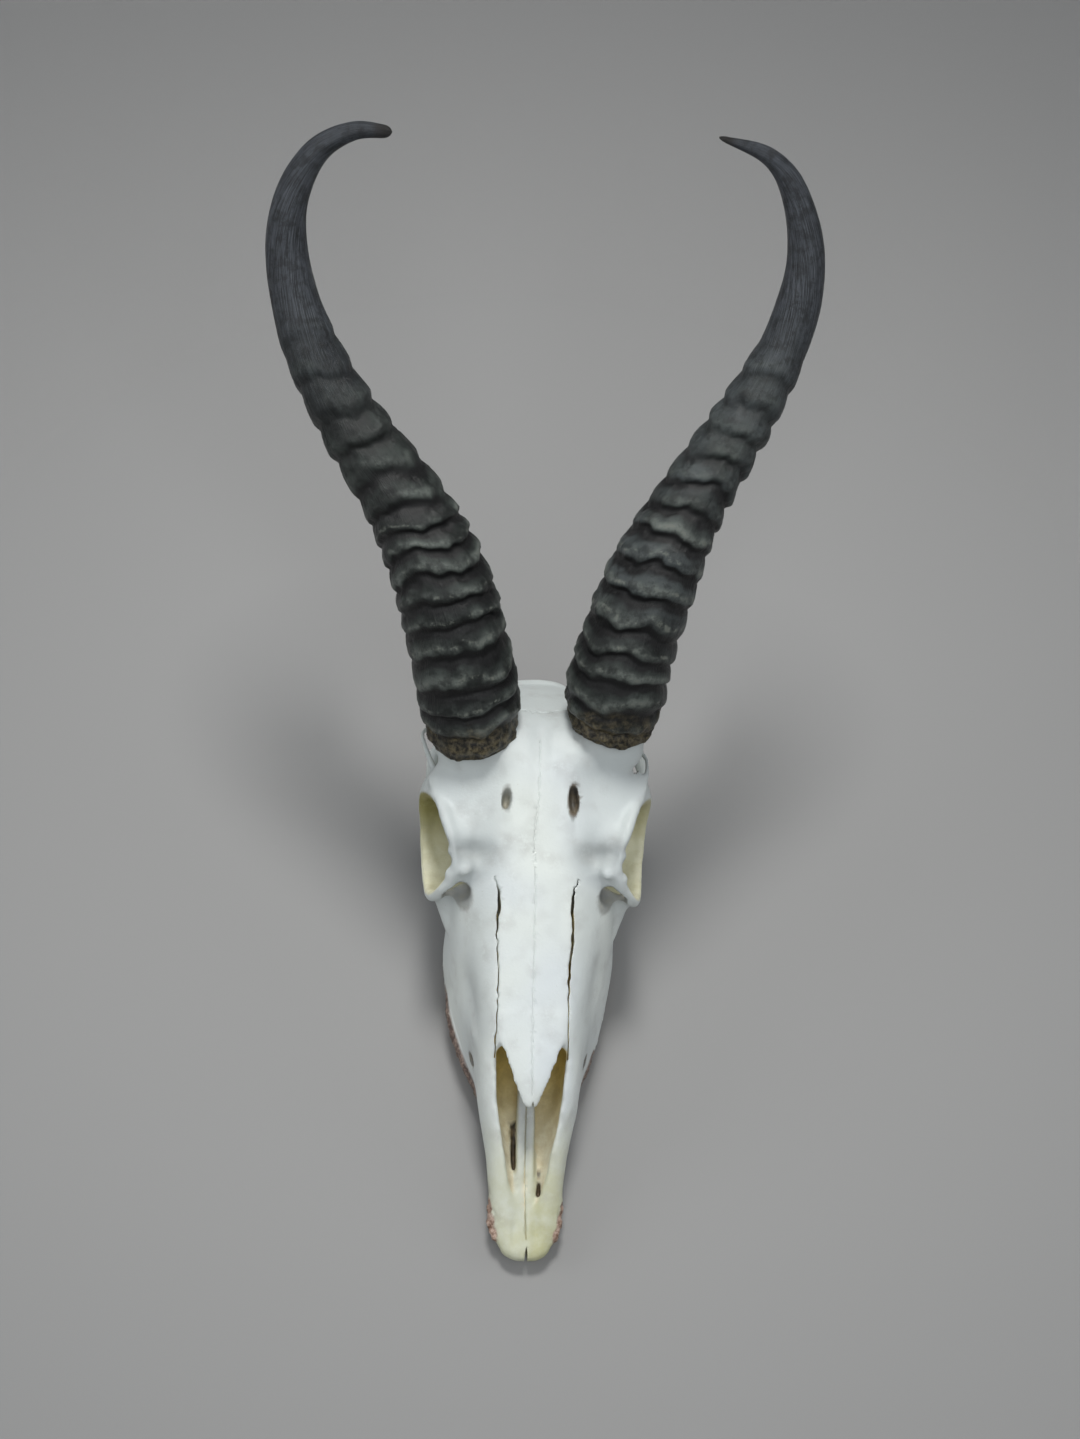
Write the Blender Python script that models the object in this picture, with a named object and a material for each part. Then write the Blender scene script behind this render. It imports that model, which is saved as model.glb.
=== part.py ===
"""Springbok skull with both horns, resting on its upper cheek teeth and on the two
processes behind its ear bones.

Sizes are in millimetres. While the pieces are made, X is 0 on the midline and grows to the
right of a person who faces the skull, Y is 0 at the front of the premaxilla and grows
backwards, and Z is 0 on the surface that the skull rests on. At the end an empty moves
everything so that the middle of the footprint is at the world origin.
"""

import math

import bmesh
import bpy
import numpy as np
from mathutils import Euler, Matrix, Vector

MM = 0.001
GAP = 0.3  # between pieces that touch

# Bone
BONE_VOXEL = 1.3
FINE_VOXEL = 0.7
BONE_TRIANGLES = 4000
ORBIT_RADIUS = 21.5  # to the middle of the bony rim
ORBIT_CENTRE = (157, 70)  # Y and Z
RIM_THICKNESS = 2.5
SOCKET_DEPTH = 26  # from the midline to the inner end of the socket's walls
NASAL_THICKNESS = 3.2
FISSURE_WIDTH = 2.4

# Horns
HORN_SIDES = 16
RING_BASE = 0.03  # share of the length over which the tilt of the rings grows
RING_DEPTH = 1.5
HORN_LIFT = 2.4  # half of how far a ring's front and back stand over its sides
SEAT_RADIUS = 15
SEAT_HEIGHT = 6

# Teeth
ROOT_TOP = 21
TOOTH_ROW_START = 74

# Right half of the face, listed from the midline above to the midline below: nasal roof,
# nasal edge, shoulder, upper flank, lower flank, outer tooth edge, inner tooth edge, palate.
FACE = (
    (0.4, ((0, 8.6), (3, 8.8), (4.8, 8.4), (5.8, 7.8), (6, 7), (5.4, 6.2), (3, 6), (0, 6))),
    (3, ((0, 10.4), (4.4, 10.8), (7, 10.2), (8.6, 9.2), (9, 7.6), (8.4, 5.8), (4.5, 5), (0, 5))),
    (7, ((0, 11.5), (5, 12), (8, 11.5), (10, 10.5), (11, 8.5), (10, 5.5), (5, 4.5), (0, 5))),
    (14, ((0, 13), (6, 14), (10, 13.5), (12.5, 12), (13.4, 9), (12, 5.5), (6, 5), (0, 5.5))),
    (24, ((0, 17), (8, 18.5), (11.5, 18), (13.8, 15.5), (14.8, 11), (13, 7), (8, 6.5), (0, 7))),
    (42, ((0, 28), (8, 29), (12.5, 28.5), (15, 24), (16, 17), (14.5, 10.5), (10, 9.5), (0, 10))),
    (58, ((0, 38), (11, 40), (14.5, 39.5), (17.5, 34), (19, 22), (17.5, 13), (12, 12), (0, 12.5))),
    (70, ((0, 46), (13.5, 48), (17, 47), (19.5, 40), (20.8, 24), (20, 11.5), (14, 12), (0, 14))),
    (77, ((0, 57), (13.5, 55.5), (18, 52.5), (21, 44), (22.5, 26), (22.5, 10), (13.5, 10), (0, 15.5))),
    (90, ((0, 64), (14, 62), (19.5, 58.5), (23.5, 48), (26, 30), (27.5, 10), (16, 10), (0, 17.5))),
    (105, ((0, 70.5), (14, 68.5), (21.5, 64.5), (26.5, 53), (29.5, 35), (31.5, 10), (18.5, 10), (0, 19))),
    (120, ((0, 77.5), (14.5, 75.5), (23.5, 70.5), (29, 59), (32, 42), (34, 10), (19.5, 10), (0, 20.5))),
    (134, ((0, 84), (15.5, 82), (25.5, 76.5), (32, 64), (34.5, 46), (34.5, 10), (20, 10), (0, 22))),
    (146, ((0, 89), (16.5, 87.5), (28, 82), (31, 68), (33, 48), (29, 24), (20, 20), (0, 32))),
    (158, ((0, 94), (17, 93), (30, 87), (30, 70), (25, 52), (18, 38), (12, 34), (0, 36))),
)

# Right half of the braincase and the forehead, from the midline above to the midline below.
CRANIUM = (
    (138, ((0, 84.5), (15, 84), (26.5, 79), (29.5, 72), (20, 60), (13, 48), (0, 44))),
    (150, ((0, 91), (17, 91), (31, 87), (33.5, 82.5), (22, 68), (13, 48), (0, 40))),
    (160, ((0, 96), (18, 96), (35, 91.5), (37.5, 87), (24, 72), (14, 50), (0, 38))),
    (170, ((0, 101), (20, 101.5), (39.5, 92.5), (42.5, 87.5), (28, 76), (18, 54), (0, 36))),
    (178, ((0, 104), (22, 106), (42.5, 91), (44.5, 86), (32, 74), (24, 54), (0, 34))),
    (186, ((0, 106.5), (24, 109), (38, 95), (38.5, 88), (33, 72), (28, 52), (0, 33))),
    (196, ((0, 106.5), (24, 107), (36, 93), (36, 83), (33, 68), (29, 50), (0, 33))),
    (208, ((0, 100), (18, 98), (29, 88), (32, 76), (32, 62), (28, 46), (0, 32))),
    (220, ((0, 89.5), (13, 88), (23, 80), (28, 68), (28, 56), (24, 42), (0, 32))),
    (231, ((0, 76), (9, 74.5), (17, 69), (22, 62), (23, 52), (20, 40), (0, 33))),
    (237, ((0, 67), (6, 66), (12, 62), (15, 56), (15, 50), (12, 44), (0, 42))),
)

# Free ends of the nasal bones: Y, height of the midline, half width.
NASAL_TIP = ((50.8, 46.6, 2.3), (52.2, 47.4, 3.5), (55, 48.8, 4.8), (60, 51.2, 7.2), (66, 53.8, 9.8),
             (71, 56, 12), (76, 58, 13.6), (86, 62.4, 13.8))

# Half width of an eye socket's rim, each 30 degrees from its top towards the back. In front of
# the top it lies well inside the cheek's edge, so that the socket shows from above.
RIM_HALF_WIDTHS = (38.2, 42.4, 45.6, 46, 45.2, 44.6, 43.8, 43, 41.6, 38, 33.2, 33.8)

# Nasal opening from above, right half: Y and half width. It is open above the two side walls.
NASAL_OPENING = ((19, 2.6), (27, 5), (35, 7.6), (46, 9.4), (57, 12.4), (66, 13.6), (74.5, 14.2))

# Centre lines of the horns from the skull to the tip.
HORN_PATHS = {
    "left": ((-26.8, 192, 101.5), (-34, 210.5, 132.5), (-44.5, 232.5, 160), (-59, 253, 178.5),
             (-81.5, 278, 197.5), (-98.5, 302, 215.5), (-107.5, 325.5, 234), (-107.5, 342, 252),
             (-98.5, 355, 266.5), (-84, 360.5, 274.5), (-68.5, 360.5, 275)),
    "right": ((28, 195.5, 106), (32.5, 212, 134.5), (43.5, 236, 163.5), (56.5, 257.5, 182.5),
              (78.5, 288, 204.5), (92, 311.5, 222.5), (96.5, 332, 241), (91, 349, 259.5),
              (79.5, 358.5, 271.5), (59, 362.5, 277.5)),
}
# Half width of each horn at shares of its length. The right one is the slimmer of the two.
HORN_RADII = {
    "left": ((0, 19.6), (0.06, 20.2), (0.22, 19.5), (0.285, 18.4), (0.345, 16.6), (0.42, 14.6),
             (0.485, 13.2), (0.54, 12.1), (0.605, 11.3), (0.66, 10), (0.76, 8.4), (0.84, 6.6),
             (0.91, 4.7), (0.965, 3.1), (1, 1.5)),
    "right": ((0, 19.6), (0.06, 20), (0.175, 18.8), (0.265, 17.9), (0.31, 16.2), (0.36, 14.5),
              (0.41, 13.4), (0.515, 11.9), (0.56, 10.9), (0.61, 10.1), (0.7, 9.1), (0.8, 7.1),
              (0.875, 5.2), (0.95, 2.8), (1, 0.9)),
}

# Shares of each horn's length at which the grooves between its rings lie.
HORN_GROOVES = {
    "left": (0.037, 0.073, 0.109, 0.149, 0.19, 0.223, 0.256, 0.29, 0.32, 0.354, 0.402, 0.455, 0.504,
             0.557, 0.613, 0.675),
    "right": (0.019, 0.059, 0.104, 0.142, 0.177, 0.226, 0.267, 0.305, 0.343, 0.389, 0.433, 0.481,
              0.522, 0.57, 0.625),
}

# Upper cheek teeth of one side from front to back: name, length, width.
TEETH = (("p2", 6.8, 7), ("p3", 8.2, 8), ("p4", 8.4, 9.4), ("m1", 11.2, 11), ("m2", 13.8, 12),
         ("m3", 14.4, 11.6))
TOOTH_LINE = ((74, 17), (90, 21.6), (105, 25), (120, 27), (140, 27.6))  # Y and X of the row

# Corners of a tooth seen from below, as shares of half its width and half its length.
TOOTH_CORNERS = ((1, -0.65), (1, 0.65), (0.7, 1), (-0.7, 1), (-1, 0.65), (-1, -0.65), (-0.7, -1),
                 (0.7, -1))

MATERIALS = {
    "bone": ((0.66, 0.68, 0.62), 0.62),
    "horn": ((0.035, 0.04, 0.038), 0.5),
    "tooth": ((0.62, 0.58, 0.44), 0.35),
}


def clear_scene():
    for old in list(bpy.data.objects):
        bpy.data.objects.remove(old, do_unlink=True)


def finish_material(name):
    colour, roughness = MATERIALS[name]
    material = bpy.data.materials.get(name) or bpy.data.materials.new(name)
    material.use_nodes = True
    surface = material.node_tree.nodes["Principled BSDF"]
    surface.inputs["Base Color"].default_value = (*colour, 1)
    surface.inputs["Roughness"].default_value = roughness
    surface.inputs["Metallic"].default_value = 0
    return material


def smooth_rows(rows, steps, closed=False):
    """Rows on a Catmull-Rom curve through the given rows, which are points or whole rings."""
    rows = np.asarray(rows, float)
    if closed:
        padded = np.concatenate([rows[-1:], rows, rows[:2]])
    else:
        padded = np.concatenate([2 * rows[:1] - rows[1:2], rows, 2 * rows[-1:] - rows[-2:-1]])
    smooth = []
    for before, start, end, after in zip(padded, padded[1:], padded[2:], padded[3:]):
        for t in np.arange(steps) / steps:
            smooth.append(
                start
                + (end - before) * t / 2
                + (2 * before - 5 * start + 4 * end - after) * t**2 / 2
                + (3 * start - before - 3 * end + after) * t**3 / 2
            )
    if not closed:
        smooth.append(rows[-1])
    return np.array(smooth)


def between(keys, at):
    """The value at one place on a list of (place, value) keys."""
    places, values = zip(*keys)
    return np.interp(at, places, values)


def add_skin(shape, rings):
    """Joins each ring of points to the next one and closes both ends."""
    loops = [[shape.verts.new(Vector(point) * MM) for point in ring] for ring in rings]
    count = len(loops[0])
    faces = []
    for ring, following in zip(loops, loops[1:]):
        for i in range(count):
            j = (i + 1) % count
            faces.append(shape.faces.new((ring[i], ring[j], following[j], following[i])))
    for cap in (loops[0], loops[-1]):
        centre = shape.verts.new(sum((vert.co for vert in cap), Vector()) / count)
        for i in range(count):
            faces.append(shape.faces.new((cap[i], cap[(i + 1) % count], centre)))
    bmesh.ops.recalc_face_normals(shape, faces=faces)


def add_sections(shape, sections, steps_along=3, steps_round=2):
    """A smooth skin through cross-sections that are given as right halves."""
    rings = []
    for y, half in sections:
        right = [(x, y, z) for x, z in half]
        left = [(-x, y, z) for x, z in reversed(half) if x > 0]
        rings.append(right + left)
    rings = smooth_rows(rings, steps_along)
    add_skin(shape, [smooth_rows(ring, steps_round, closed=True) for ring in rings])


def add_bar(shape, path, sizes, steps=4, sides=10, flat_to=(0, 0, 1), closed=False):
    """A bar of oval section along a smooth path. Each size is (half width, half depth), the
    depth measured along flat_to."""
    centres = smooth_rows(path, steps, closed)
    spread = smooth_rows(sizes, steps, closed)
    if closed:
        centres = np.concatenate([centres, centres[:1]])
        spread = np.concatenate([spread, spread[:1]])
        along = np.roll(centres[:-1], -1, axis=0) - np.roll(centres[:-1], 1, axis=0)
        along = np.concatenate([along, along[:1]])
    else:
        along = np.gradient(centres, axis=0)
    rings = []
    for centre, direction, (half_width, half_depth) in zip(centres, along, spread):
        direction = Vector(direction).normalized()
        depth = Vector(flat_to)
        depth = (depth - direction * depth.dot(direction)).normalized()
        width = depth.cross(direction)
        ring = []
        for i in range(sides):
            angle = 2 * math.pi * i / sides
            offset = width * half_width * math.cos(angle) + depth * half_depth * math.sin(angle)
            ring.append(Vector(centre) + offset)
        rings.append(ring)
    add_skin(shape, rings)


def add_ball(shape, centre, radii, turn=(0, 0, 0)):
    """An ellipsoid, turned by degrees about X, Y and Z."""
    matrix = (
        Matrix.Translation(Vector(centre) * MM)
        @ Euler([math.radians(a) for a in turn]).to_matrix().to_4x4()
        @ Matrix.Diagonal((*(Vector(radii) * MM), 1))
    )
    bmesh.ops.create_icosphere(shape, subdivisions=3, radius=1, matrix=matrix)


def mirrored(points, side):
    return [(side * x, y, z) for x, y, z in points]


def object_from(name, shape):
    mesh = bpy.data.meshes.new(name)
    shape.to_mesh(mesh)
    shape.free()
    made = bpy.data.objects.new(name, mesh)
    bpy.context.scene.collection.objects.link(made)
    return made


def apply_modifier(target, kind, **settings):
    modifier = target.modifiers.new(kind.title(), kind)
    for key, value in settings.items():
        setattr(modifier, key, value)
    bpy.context.view_layer.objects.active = target
    bpy.ops.object.modifier_apply(modifier=modifier.name)


def combine(target, shape, operation):
    """Applies a Boolean with a shape that is used up."""
    tool = object_from("tool", shape)
    apply_modifier(target, "BOOLEAN", operation=operation, object=tool)
    bpy.data.objects.remove(tool, do_unlink=True)


def fuse(target, voxel, shape=None):
    """Melts everything that overlaps into one skin, after adding a shape if there is one."""
    if shape:
        shape.from_mesh(target.data)
        shape.to_mesh(target.data)
        shape.free()
    apply_modifier(target, "REMESH", mode="VOXEL", voxel_size=voxel * MM)


def carve(target, shape, voxel):
    """Cuts away a shape whose own parts overlap."""
    tool = object_from("tool", shape)
    fuse(tool, voxel)
    apply_modifier(target, "BOOLEAN", operation="DIFFERENCE", object=tool)
    bpy.data.objects.remove(tool, do_unlink=True)


def rim_points(side, count):
    """The rim of one eye socket."""
    y, z = ORBIT_CENTRE
    rows = [(half,) for half in RIM_HALF_WIDTHS]
    halves = smooth_rows(rows, count // len(rows), closed=True)[:, 0]
    points = []
    for i, half in enumerate(halves):
        angle = 2 * math.pi * i / len(halves)
        points.append((side * half, y + ORBIT_RADIUS * math.sin(angle),
                       z + ORBIT_RADIUS * math.cos(angle)))
    return points


def skull_masses():
    shape = bmesh.new()
    add_sections(shape, FACE)
    add_sections(shape, CRANIUM)
    for side in (-1, 1):
        add_ball(shape, (side * 26, 190, 98), (17, 15, 13), (28, 0, 0))  # under the horn
        add_ball(shape, (side * 27, 138, 34), (8, 11, 18))  # bulge over the last molar
        add_ball(shape, (side * 34.5, 143, 53), (6.5, 8, 10), (0, 0, side * -25))  # cheek bone
        rim = rim_points(side, 24)
        add_skin(shape, [[(side * SOCKET_DEPTH, y, z) for _, y, z in rim], rim])
    return object_from("skull", shape)


def hollows():
    """Eye sockets, the space behind them, the throat side and the inside of the nose."""
    shape = bmesh.new()
    for side in (-1, 1):
        add_ball(shape, (side * 43, 157, 68), (28, 19.6, 18), (0, side * 4, side * -6))
        add_ball(shape, (side * 46, 201.5, 64), (14.5, 19.5, 19), (0, 0, side * 6))
        add_ball(shape, (side * 40, 174, 30), (18, 22, 16))
    add_ball(shape, (0, 160, 24), (10.5, 34, 13))  # between the wings behind the palate
    add_ball(shape, (0, 244, 47), (7.5, 18, 7))  # where the spine enters
    nose = ((22, ((0, 19), (2.5, 18), (3.4, 14), (2.5, 11.5), (0, 11))),
            (42, ((0, 36), (8, 35), (10, 26), (7, 15.5), (0, 14))),
            (58, ((0, 45), (11.5, 44), (13, 32), (10, 18.5), (0, 16.5))),
            (76, ((0, 53.5), (11.5, 51.5), (16, 38), (12, 21), (0, 19.5))),
            (92, ((0, 60), (11.5, 58), (18, 42), (13.5, 25), (0, 23))),
            (108, ((0, 66), (11, 64), (18, 46), (13, 30), (0, 27))),
            (120, ((0, 66), (8, 64), (12, 50), (9, 38), (0, 35))))
    add_sections(shape, nose)
    add_nasal_opening(shape)
    return shape


def add_nasal_opening(shape):
    """A cutter over the front of the snout that leaves two side walls."""
    rings = []
    for y, half_width in NASAL_OPENING:
        floor = 11 + 0.12 * y
        corner = (half_width, floor + 6)
        rings.append((y, ((0, 80), (half_width, 80), corner, (half_width * 0.7, floor), (0, floor))))
    add_sections(shape, rings, steps_round=1)


def thin_bones():
    """Everything slender, added after the hollows so that they don't cut it."""
    shape = bmesh.new()
    tips = []
    for y, top, half in NASAL_TIP:
        low = top - NASAL_THICKNESS
        edge = (half, top - 2)
        tips.append((y, ((0, top), (0.6 * half, top - 0.5), edge, (0.6 * half, low - 0.6), (0, low))))
    add_sections(shape, tips)
    for side in (-1, 1):
        rim = rim_points(side, 12)
        add_bar(shape, rim, [(RIM_THICKNESS, RIM_THICKNESS)] * 12, flat_to=(1, 0, 0), closed=True)
        arch = mirrored(((32, 130, 44), (36.5, 141, 47), (41, 154, 47), (42.8, 170, 49),
                         (43.6, 185, 51), (43, 198, 52), (41, 210, 52), (31, 218, 48)), side)
        add_bar(shape, arch, [(3, 6), (3, 5), (2.4, 4), (2.4, 4.2), (2.3, 3.8), (2.3, 3.4), (3, 3.6),
                              (4, 4)])
        post = mirrored(((41, 177, 89), (44.2, 179.5, 80), (45, 179.5, 68), (44, 178, 52)), side)
        add_bar(shape, post, [(3, 4), (2.8, 3.4), (2.8, 3.2), (3, 4)], flat_to=(0, 1, 0))
        add_ball(shape, (side * 29, 145, 82.5), (4.5, 9, 3.4), (0, side * 20, 0))  # brow
        rod = mirrored(((1.9, 18, 12.5), (2, 34, 15.5), (1.9, 50, 20), (1.8, 70, 25)), side)
        add_bar(shape, rod, [(1.5, 2.2), (1.4, 2.4), (1.4, 2.6), (1.5, 3)])
        wing = mirrored(((14, 132, 22), (13, 144, 24), (11.5, 156, 27), (9, 168, 33)), side)
        add_bar(shape, wing, [(2, 7), (1.8, 8), (1.7, 8), (1.8, 5)])
        process = mirrored(((27, 216, 44), (26.5, 221, 28), (24.5, 222, 12), (23.5, 221.5, -3)), side)
        add_bar(shape, process, [(4.5, 7), (3.2, 5.5), (2.8, 4), (2.6, 3)], flat_to=(0, 1, 0))
        add_ball(shape, (side * 17.5, 204, 31), (8, 14, 10.5), (12, 0, side * 8))  # ear bone
        add_ball(shape, (side * 31, 211, 49), (5, 7, 6))  # ear opening's ring
        add_ball(shape, (side * 10.5, 234, 38), (6.5, 8.5, 8), (-20, 0, side * 20))  # condyle
    add_ball(shape, (0, 231, 72), (14, 4.5, 4))  # crest over the neck
    add_bar(shape, ((0, 150, 42), (0, 175, 36), (0, 200, 33), (0, 222, 33)),
            [(7, 5), (8, 6), (10, 6), (11, 6)])
    return shape


def add_fissures(shape):
    """The open seams beside the nasal bones."""
    for side in (-1, 1):
        line = mirrored(((17.6, 137, 78), (15, 129, 74), (15.4, 116, 68), (14.4, 102, 61),
                         (14.4, 90, 55), (14.8, 72, 47)), side)
        half = FISSURE_WIDTH / 2
        sizes = [(half * share, 11) for share in (0.8, 1.4, 0.9, 0.9, 1, 1)]
        add_bar(shape, line, sizes, sides=8)


def small_openings():
    """Holes through the bone and pits in it."""
    shape = bmesh.new()
    for side in (-1, 1):
        slot = mirrored(((4.4, 24, 9), (5, 38, 11), (5.6, 53, 13.5)), side)
        add_bar(shape, slot, [(0.9, 9), (1.2, 9), (0.9, 9)])
        add_ball(shape, (side * 32, 135, 70), (6.5, 7, 5), (0, side * 42, 0))  # pit before the eye
        add_ball(shape, (side * 13.8, 164, 98), (1.8, 5.2, 7))  # forehead hole
        add_ball(shape, (side * 25, 80, 27), (7, 2.6, 2))  # cheek hole
    add_ball(shape, (0, 5, 8), (0.9, 9, 6))  # cleft between the two halves of the tip
    add_fissures(shape)
    return shape


def under_floor():
    """A block just below the resting surface, which gives the two processes flat tips."""
    shape = bmesh.new()
    size = Matrix.Diagonal((100 * MM, 60 * MM, 20 * MM, 1))
    bmesh.ops.create_cube(shape, size=1, matrix=Matrix.Translation((0, 220 * MM, -10 * MM)) @ size)
    return shape


def bone_frame(side_name):
    """Base centre of a horn, with its long axis as Z and its front as -Y."""
    path = smooth_rows(HORN_PATHS[side_name], 8)
    axis = Vector(path[2] - path[0]).normalized()
    front = (Vector((0, -1, 0)) - axis * -axis.y).normalized()
    across = (-front).cross(axis)
    turn = Matrix((across, -front, axis)).transposed().to_4x4()
    return Matrix.Translation(Vector(path[0]) * MM) @ turn


def add_seat(shape, side_name, grow):
    """The stub that a horn sits on, or its socket when grown by the gap."""
    tall = SEAT_HEIGHT + 8 + grow
    matrix = bone_frame(side_name) @ Matrix.Translation((0, 0, (tall / 2 - 8) * MM))
    bmesh.ops.create_cone(
        shape, cap_ends=True, segments=24, matrix=matrix, depth=tall * MM,
        radius1=(SEAT_RADIUS + 2 + grow) * MM, radius2=(SEAT_RADIUS - 2 + grow) * MM,
    )


def horn_clearance(side_name):
    """The space over the base plane of a horn, kept free of other bone."""
    shape = bmesh.new()
    matrix = bone_frame(side_name) @ Matrix.Translation((0, 0, (30 - GAP) * MM))
    bmesh.ops.create_cone(shape, cap_ends=True, segments=32, matrix=matrix, depth=60 * MM,
                          radius1=23.5 * MM, radius2=23.5 * MM)
    return shape


def tooth_places():
    """Name, centre and size of each cheek tooth of the right side."""
    front = TOOTH_ROW_START
    for name, length, width in TEETH:
        middle = front + length / 2
        slope = (between(TOOTH_LINE, front + length) - between(TOOTH_LINE, front)) / length
        yield name, (between(TOOTH_LINE, middle), middle), length, width, math.atan(slope)
        front += length


def add_tooth(shape, centre, length, width, angle, bottom, top, grow):
    """A block with blunt corners from its chewing face up to its root."""
    half_length = length / 2 - GAP / 2 + grow
    half_width = width / 2 + grow
    rings = []
    height = top - bottom
    for level, share in ((bottom, 0.88), (bottom + 0.12 * height, 1), (bottom + 0.5 * height, 0.97),
                         (top, 0.8)):
        ring = []
        for across, along in TOOTH_CORNERS:
            x = across * half_width * share
            y = along * half_length * min(share + 0.06, 1)
            ring.append((centre[0] + x * math.cos(angle) + y * math.sin(angle),
                         centre[1] + y * math.cos(angle) - x * math.sin(angle), level))
        rings.append(ring)
    add_skin(shape, rings)


def make_skull():
    skull = skull_masses()
    fuse(skull, BONE_VOXEL)
    carve(skull, hollows(), BONE_VOXEL)
    fuse(skull, BONE_VOXEL, thin_bones())
    apply_modifier(skull, "SMOOTH", factor=0.5, iterations=4)
    carve(skull, small_openings(), FINE_VOXEL)
    fuse(skull, FINE_VOXEL)
    apply_modifier(skull, "TRIANGULATE")
    ratio = BONE_TRIANGLES / len(skull.data.polygons)
    apply_modifier(skull, "DECIMATE", ratio=ratio, use_collapse_triangulate=True)
    combine(skull, under_floor(), "DIFFERENCE")
    for side_name in HORN_PATHS:
        combine(skull, horn_clearance(side_name), "DIFFERENCE")
        seat = bmesh.new()
        add_seat(seat, side_name, 0)
        combine(skull, seat, "UNION")
    for side in (-1, 1):
        for _, (x, y), length, width, angle in tooth_places():
            socket = bmesh.new()
            add_tooth(socket, (side * x, y), length, width, side * angle, -4, ROOT_TOP + GAP, GAP)
            combine(skull, socket, "DIFFERENCE")
    return skull


def ring_swell(grooves, share):
    """How far the surface stands out from its mean at one share of a horn's length."""
    for start, end in zip(grooves, grooves[1:]):
        if start <= share < end:
            place = (share - start) / (end - start)
            fade = min(1, 1.25 - 0.6 * share)
            return fade * RING_DEPTH * (math.sin(math.pi * place**0.7) ** 0.6 - 0.62)
    return 0


def horn_shares(grooves):
    """Places along a horn that get a ring of points: three a ring, then evenly to the tip."""
    shares = [0, grooves[0] / 2]
    for start, end in zip(grooves, grooves[1:]):
        shares += [start, start + 0.3 * (end - start), start + 0.7 * (end - start)]
    return shares + list(np.linspace(grooves[-1], 1, 14))


def make_horn(side_name):
    path = smooth_rows(HORN_PATHS[side_name], 12)
    lengths = np.concatenate([[0], np.cumsum(np.linalg.norm(np.diff(path, axis=0), axis=1))])
    along = np.gradient(path, axis=0)
    total = lengths[-1]

    def at(distance, rows):
        return Vector([np.interp(distance, lengths, rows[:, i]) for i in range(3)])

    rings = []
    grooves = HORN_GROOVES[side_name]
    for share in horn_shares(grooves):
        radius = between(HORN_RADII[side_name], share) + ring_swell(grooves, share)
        lift = HORN_LIFT * min(share / RING_BASE, 1) * min((1 - share) / 0.4, 1)
        ring = []
        for i in range(HORN_SIDES):
            angle = 2 * math.pi * i / HORN_SIDES
            place = share * total + lift * math.cos(2 * angle)
            direction = at(place, along).normalized()
            front = (Vector((0, -1, 0)) + direction * direction.y).normalized()
            across = direction.cross(front)
            offset = front * 1.03 * math.cos(angle) + across * math.sin(angle)
            ring.append(at(place, path) + offset * radius)
        rings.append(ring)
    shape = bmesh.new()
    add_skin(shape, rings)
    horn = object_from("horn_" + side_name, shape)
    socket = bmesh.new()
    add_seat(socket, side_name, GAP)
    combine(horn, socket, "DIFFERENCE")
    return horn


def make_tooth(side_name, side, name, centre, length, width, angle):
    shape = bmesh.new()
    add_tooth(shape, (side * centre[0], centre[1]), length, width, side * angle, 0, ROOT_TOP, 0)
    return object_from(f"tooth_{side_name}_{name}", shape)


def place_on_origin(pieces):
    """Parents the pieces to an empty and moves it so that the footprint is centred."""
    corners = [piece.matrix_world @ Vector(corner) for piece in pieces for corner in piece.bound_box]
    low = [min(corner[i] for corner in corners) for i in range(3)]
    high = [max(corner[i] for corner in corners) for i in range(3)]
    stand = bpy.data.objects.new("springbok_skull", None)
    bpy.context.scene.collection.objects.link(stand)
    for piece in pieces:
        piece.parent = stand
    stand.location = (-(low[0] + high[0]) / 2, -(low[1] + high[1]) / 2, -low[2])


def dress(piece, material_name):
    piece.data.materials.clear()
    piece.data.materials.append(finish_material(material_name))
    piece.data.shade_smooth()
    piece.data.set_sharp_from_angle(angle=math.radians(40))


def main():
    clear_scene()
    skull = make_skull()
    dress(skull, "bone")
    pieces = [skull]
    for side_name, side in (("left", -1), ("right", 1)):
        horn = make_horn(side_name)
        dress(horn, "horn")
        pieces.append(horn)
        for name, centre, length, width, angle in tooth_places():
            tooth = make_tooth(side_name, side, name, centre, length, width, angle)
            dress(tooth, "tooth")
            pieces.append(tooth)
    bpy.context.view_layer.update()
    place_on_origin(pieces)


main()
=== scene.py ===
import math

import bmesh
import bpy
import numpy as np
from mathutils import Matrix, Vector, noise
from mathutils.bvhtree import BVHTree
from mathutils.kdtree import KDTree


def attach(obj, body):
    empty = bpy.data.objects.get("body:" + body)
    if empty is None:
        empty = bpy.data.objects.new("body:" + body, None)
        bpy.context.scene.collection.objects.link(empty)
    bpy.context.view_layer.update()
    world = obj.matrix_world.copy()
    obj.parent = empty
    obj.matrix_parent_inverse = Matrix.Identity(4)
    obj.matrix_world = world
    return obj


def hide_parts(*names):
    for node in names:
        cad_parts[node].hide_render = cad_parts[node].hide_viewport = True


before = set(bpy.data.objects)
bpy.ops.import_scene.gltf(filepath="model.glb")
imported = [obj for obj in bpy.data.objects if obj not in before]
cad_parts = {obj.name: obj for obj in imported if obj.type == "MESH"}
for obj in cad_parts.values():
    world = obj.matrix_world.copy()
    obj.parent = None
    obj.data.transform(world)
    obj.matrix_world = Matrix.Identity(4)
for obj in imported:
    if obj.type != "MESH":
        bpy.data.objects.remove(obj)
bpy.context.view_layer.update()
print("frame loaded:", len(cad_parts), "nodes")

# Everything below is drawn in millimetres: X from the midline, Y back from the muzzle's tip,
# Z up from the table. This is where that corner lies in the frame.
tableCorner = Vector((0.0060757, -0.1824761, 0))


def toRow(point):
    return Vector(point) * 0.001 + tableCorner


def toModel(points):
    return (np.asarray(points) - np.array(tableCorner)) * 1000


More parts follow.
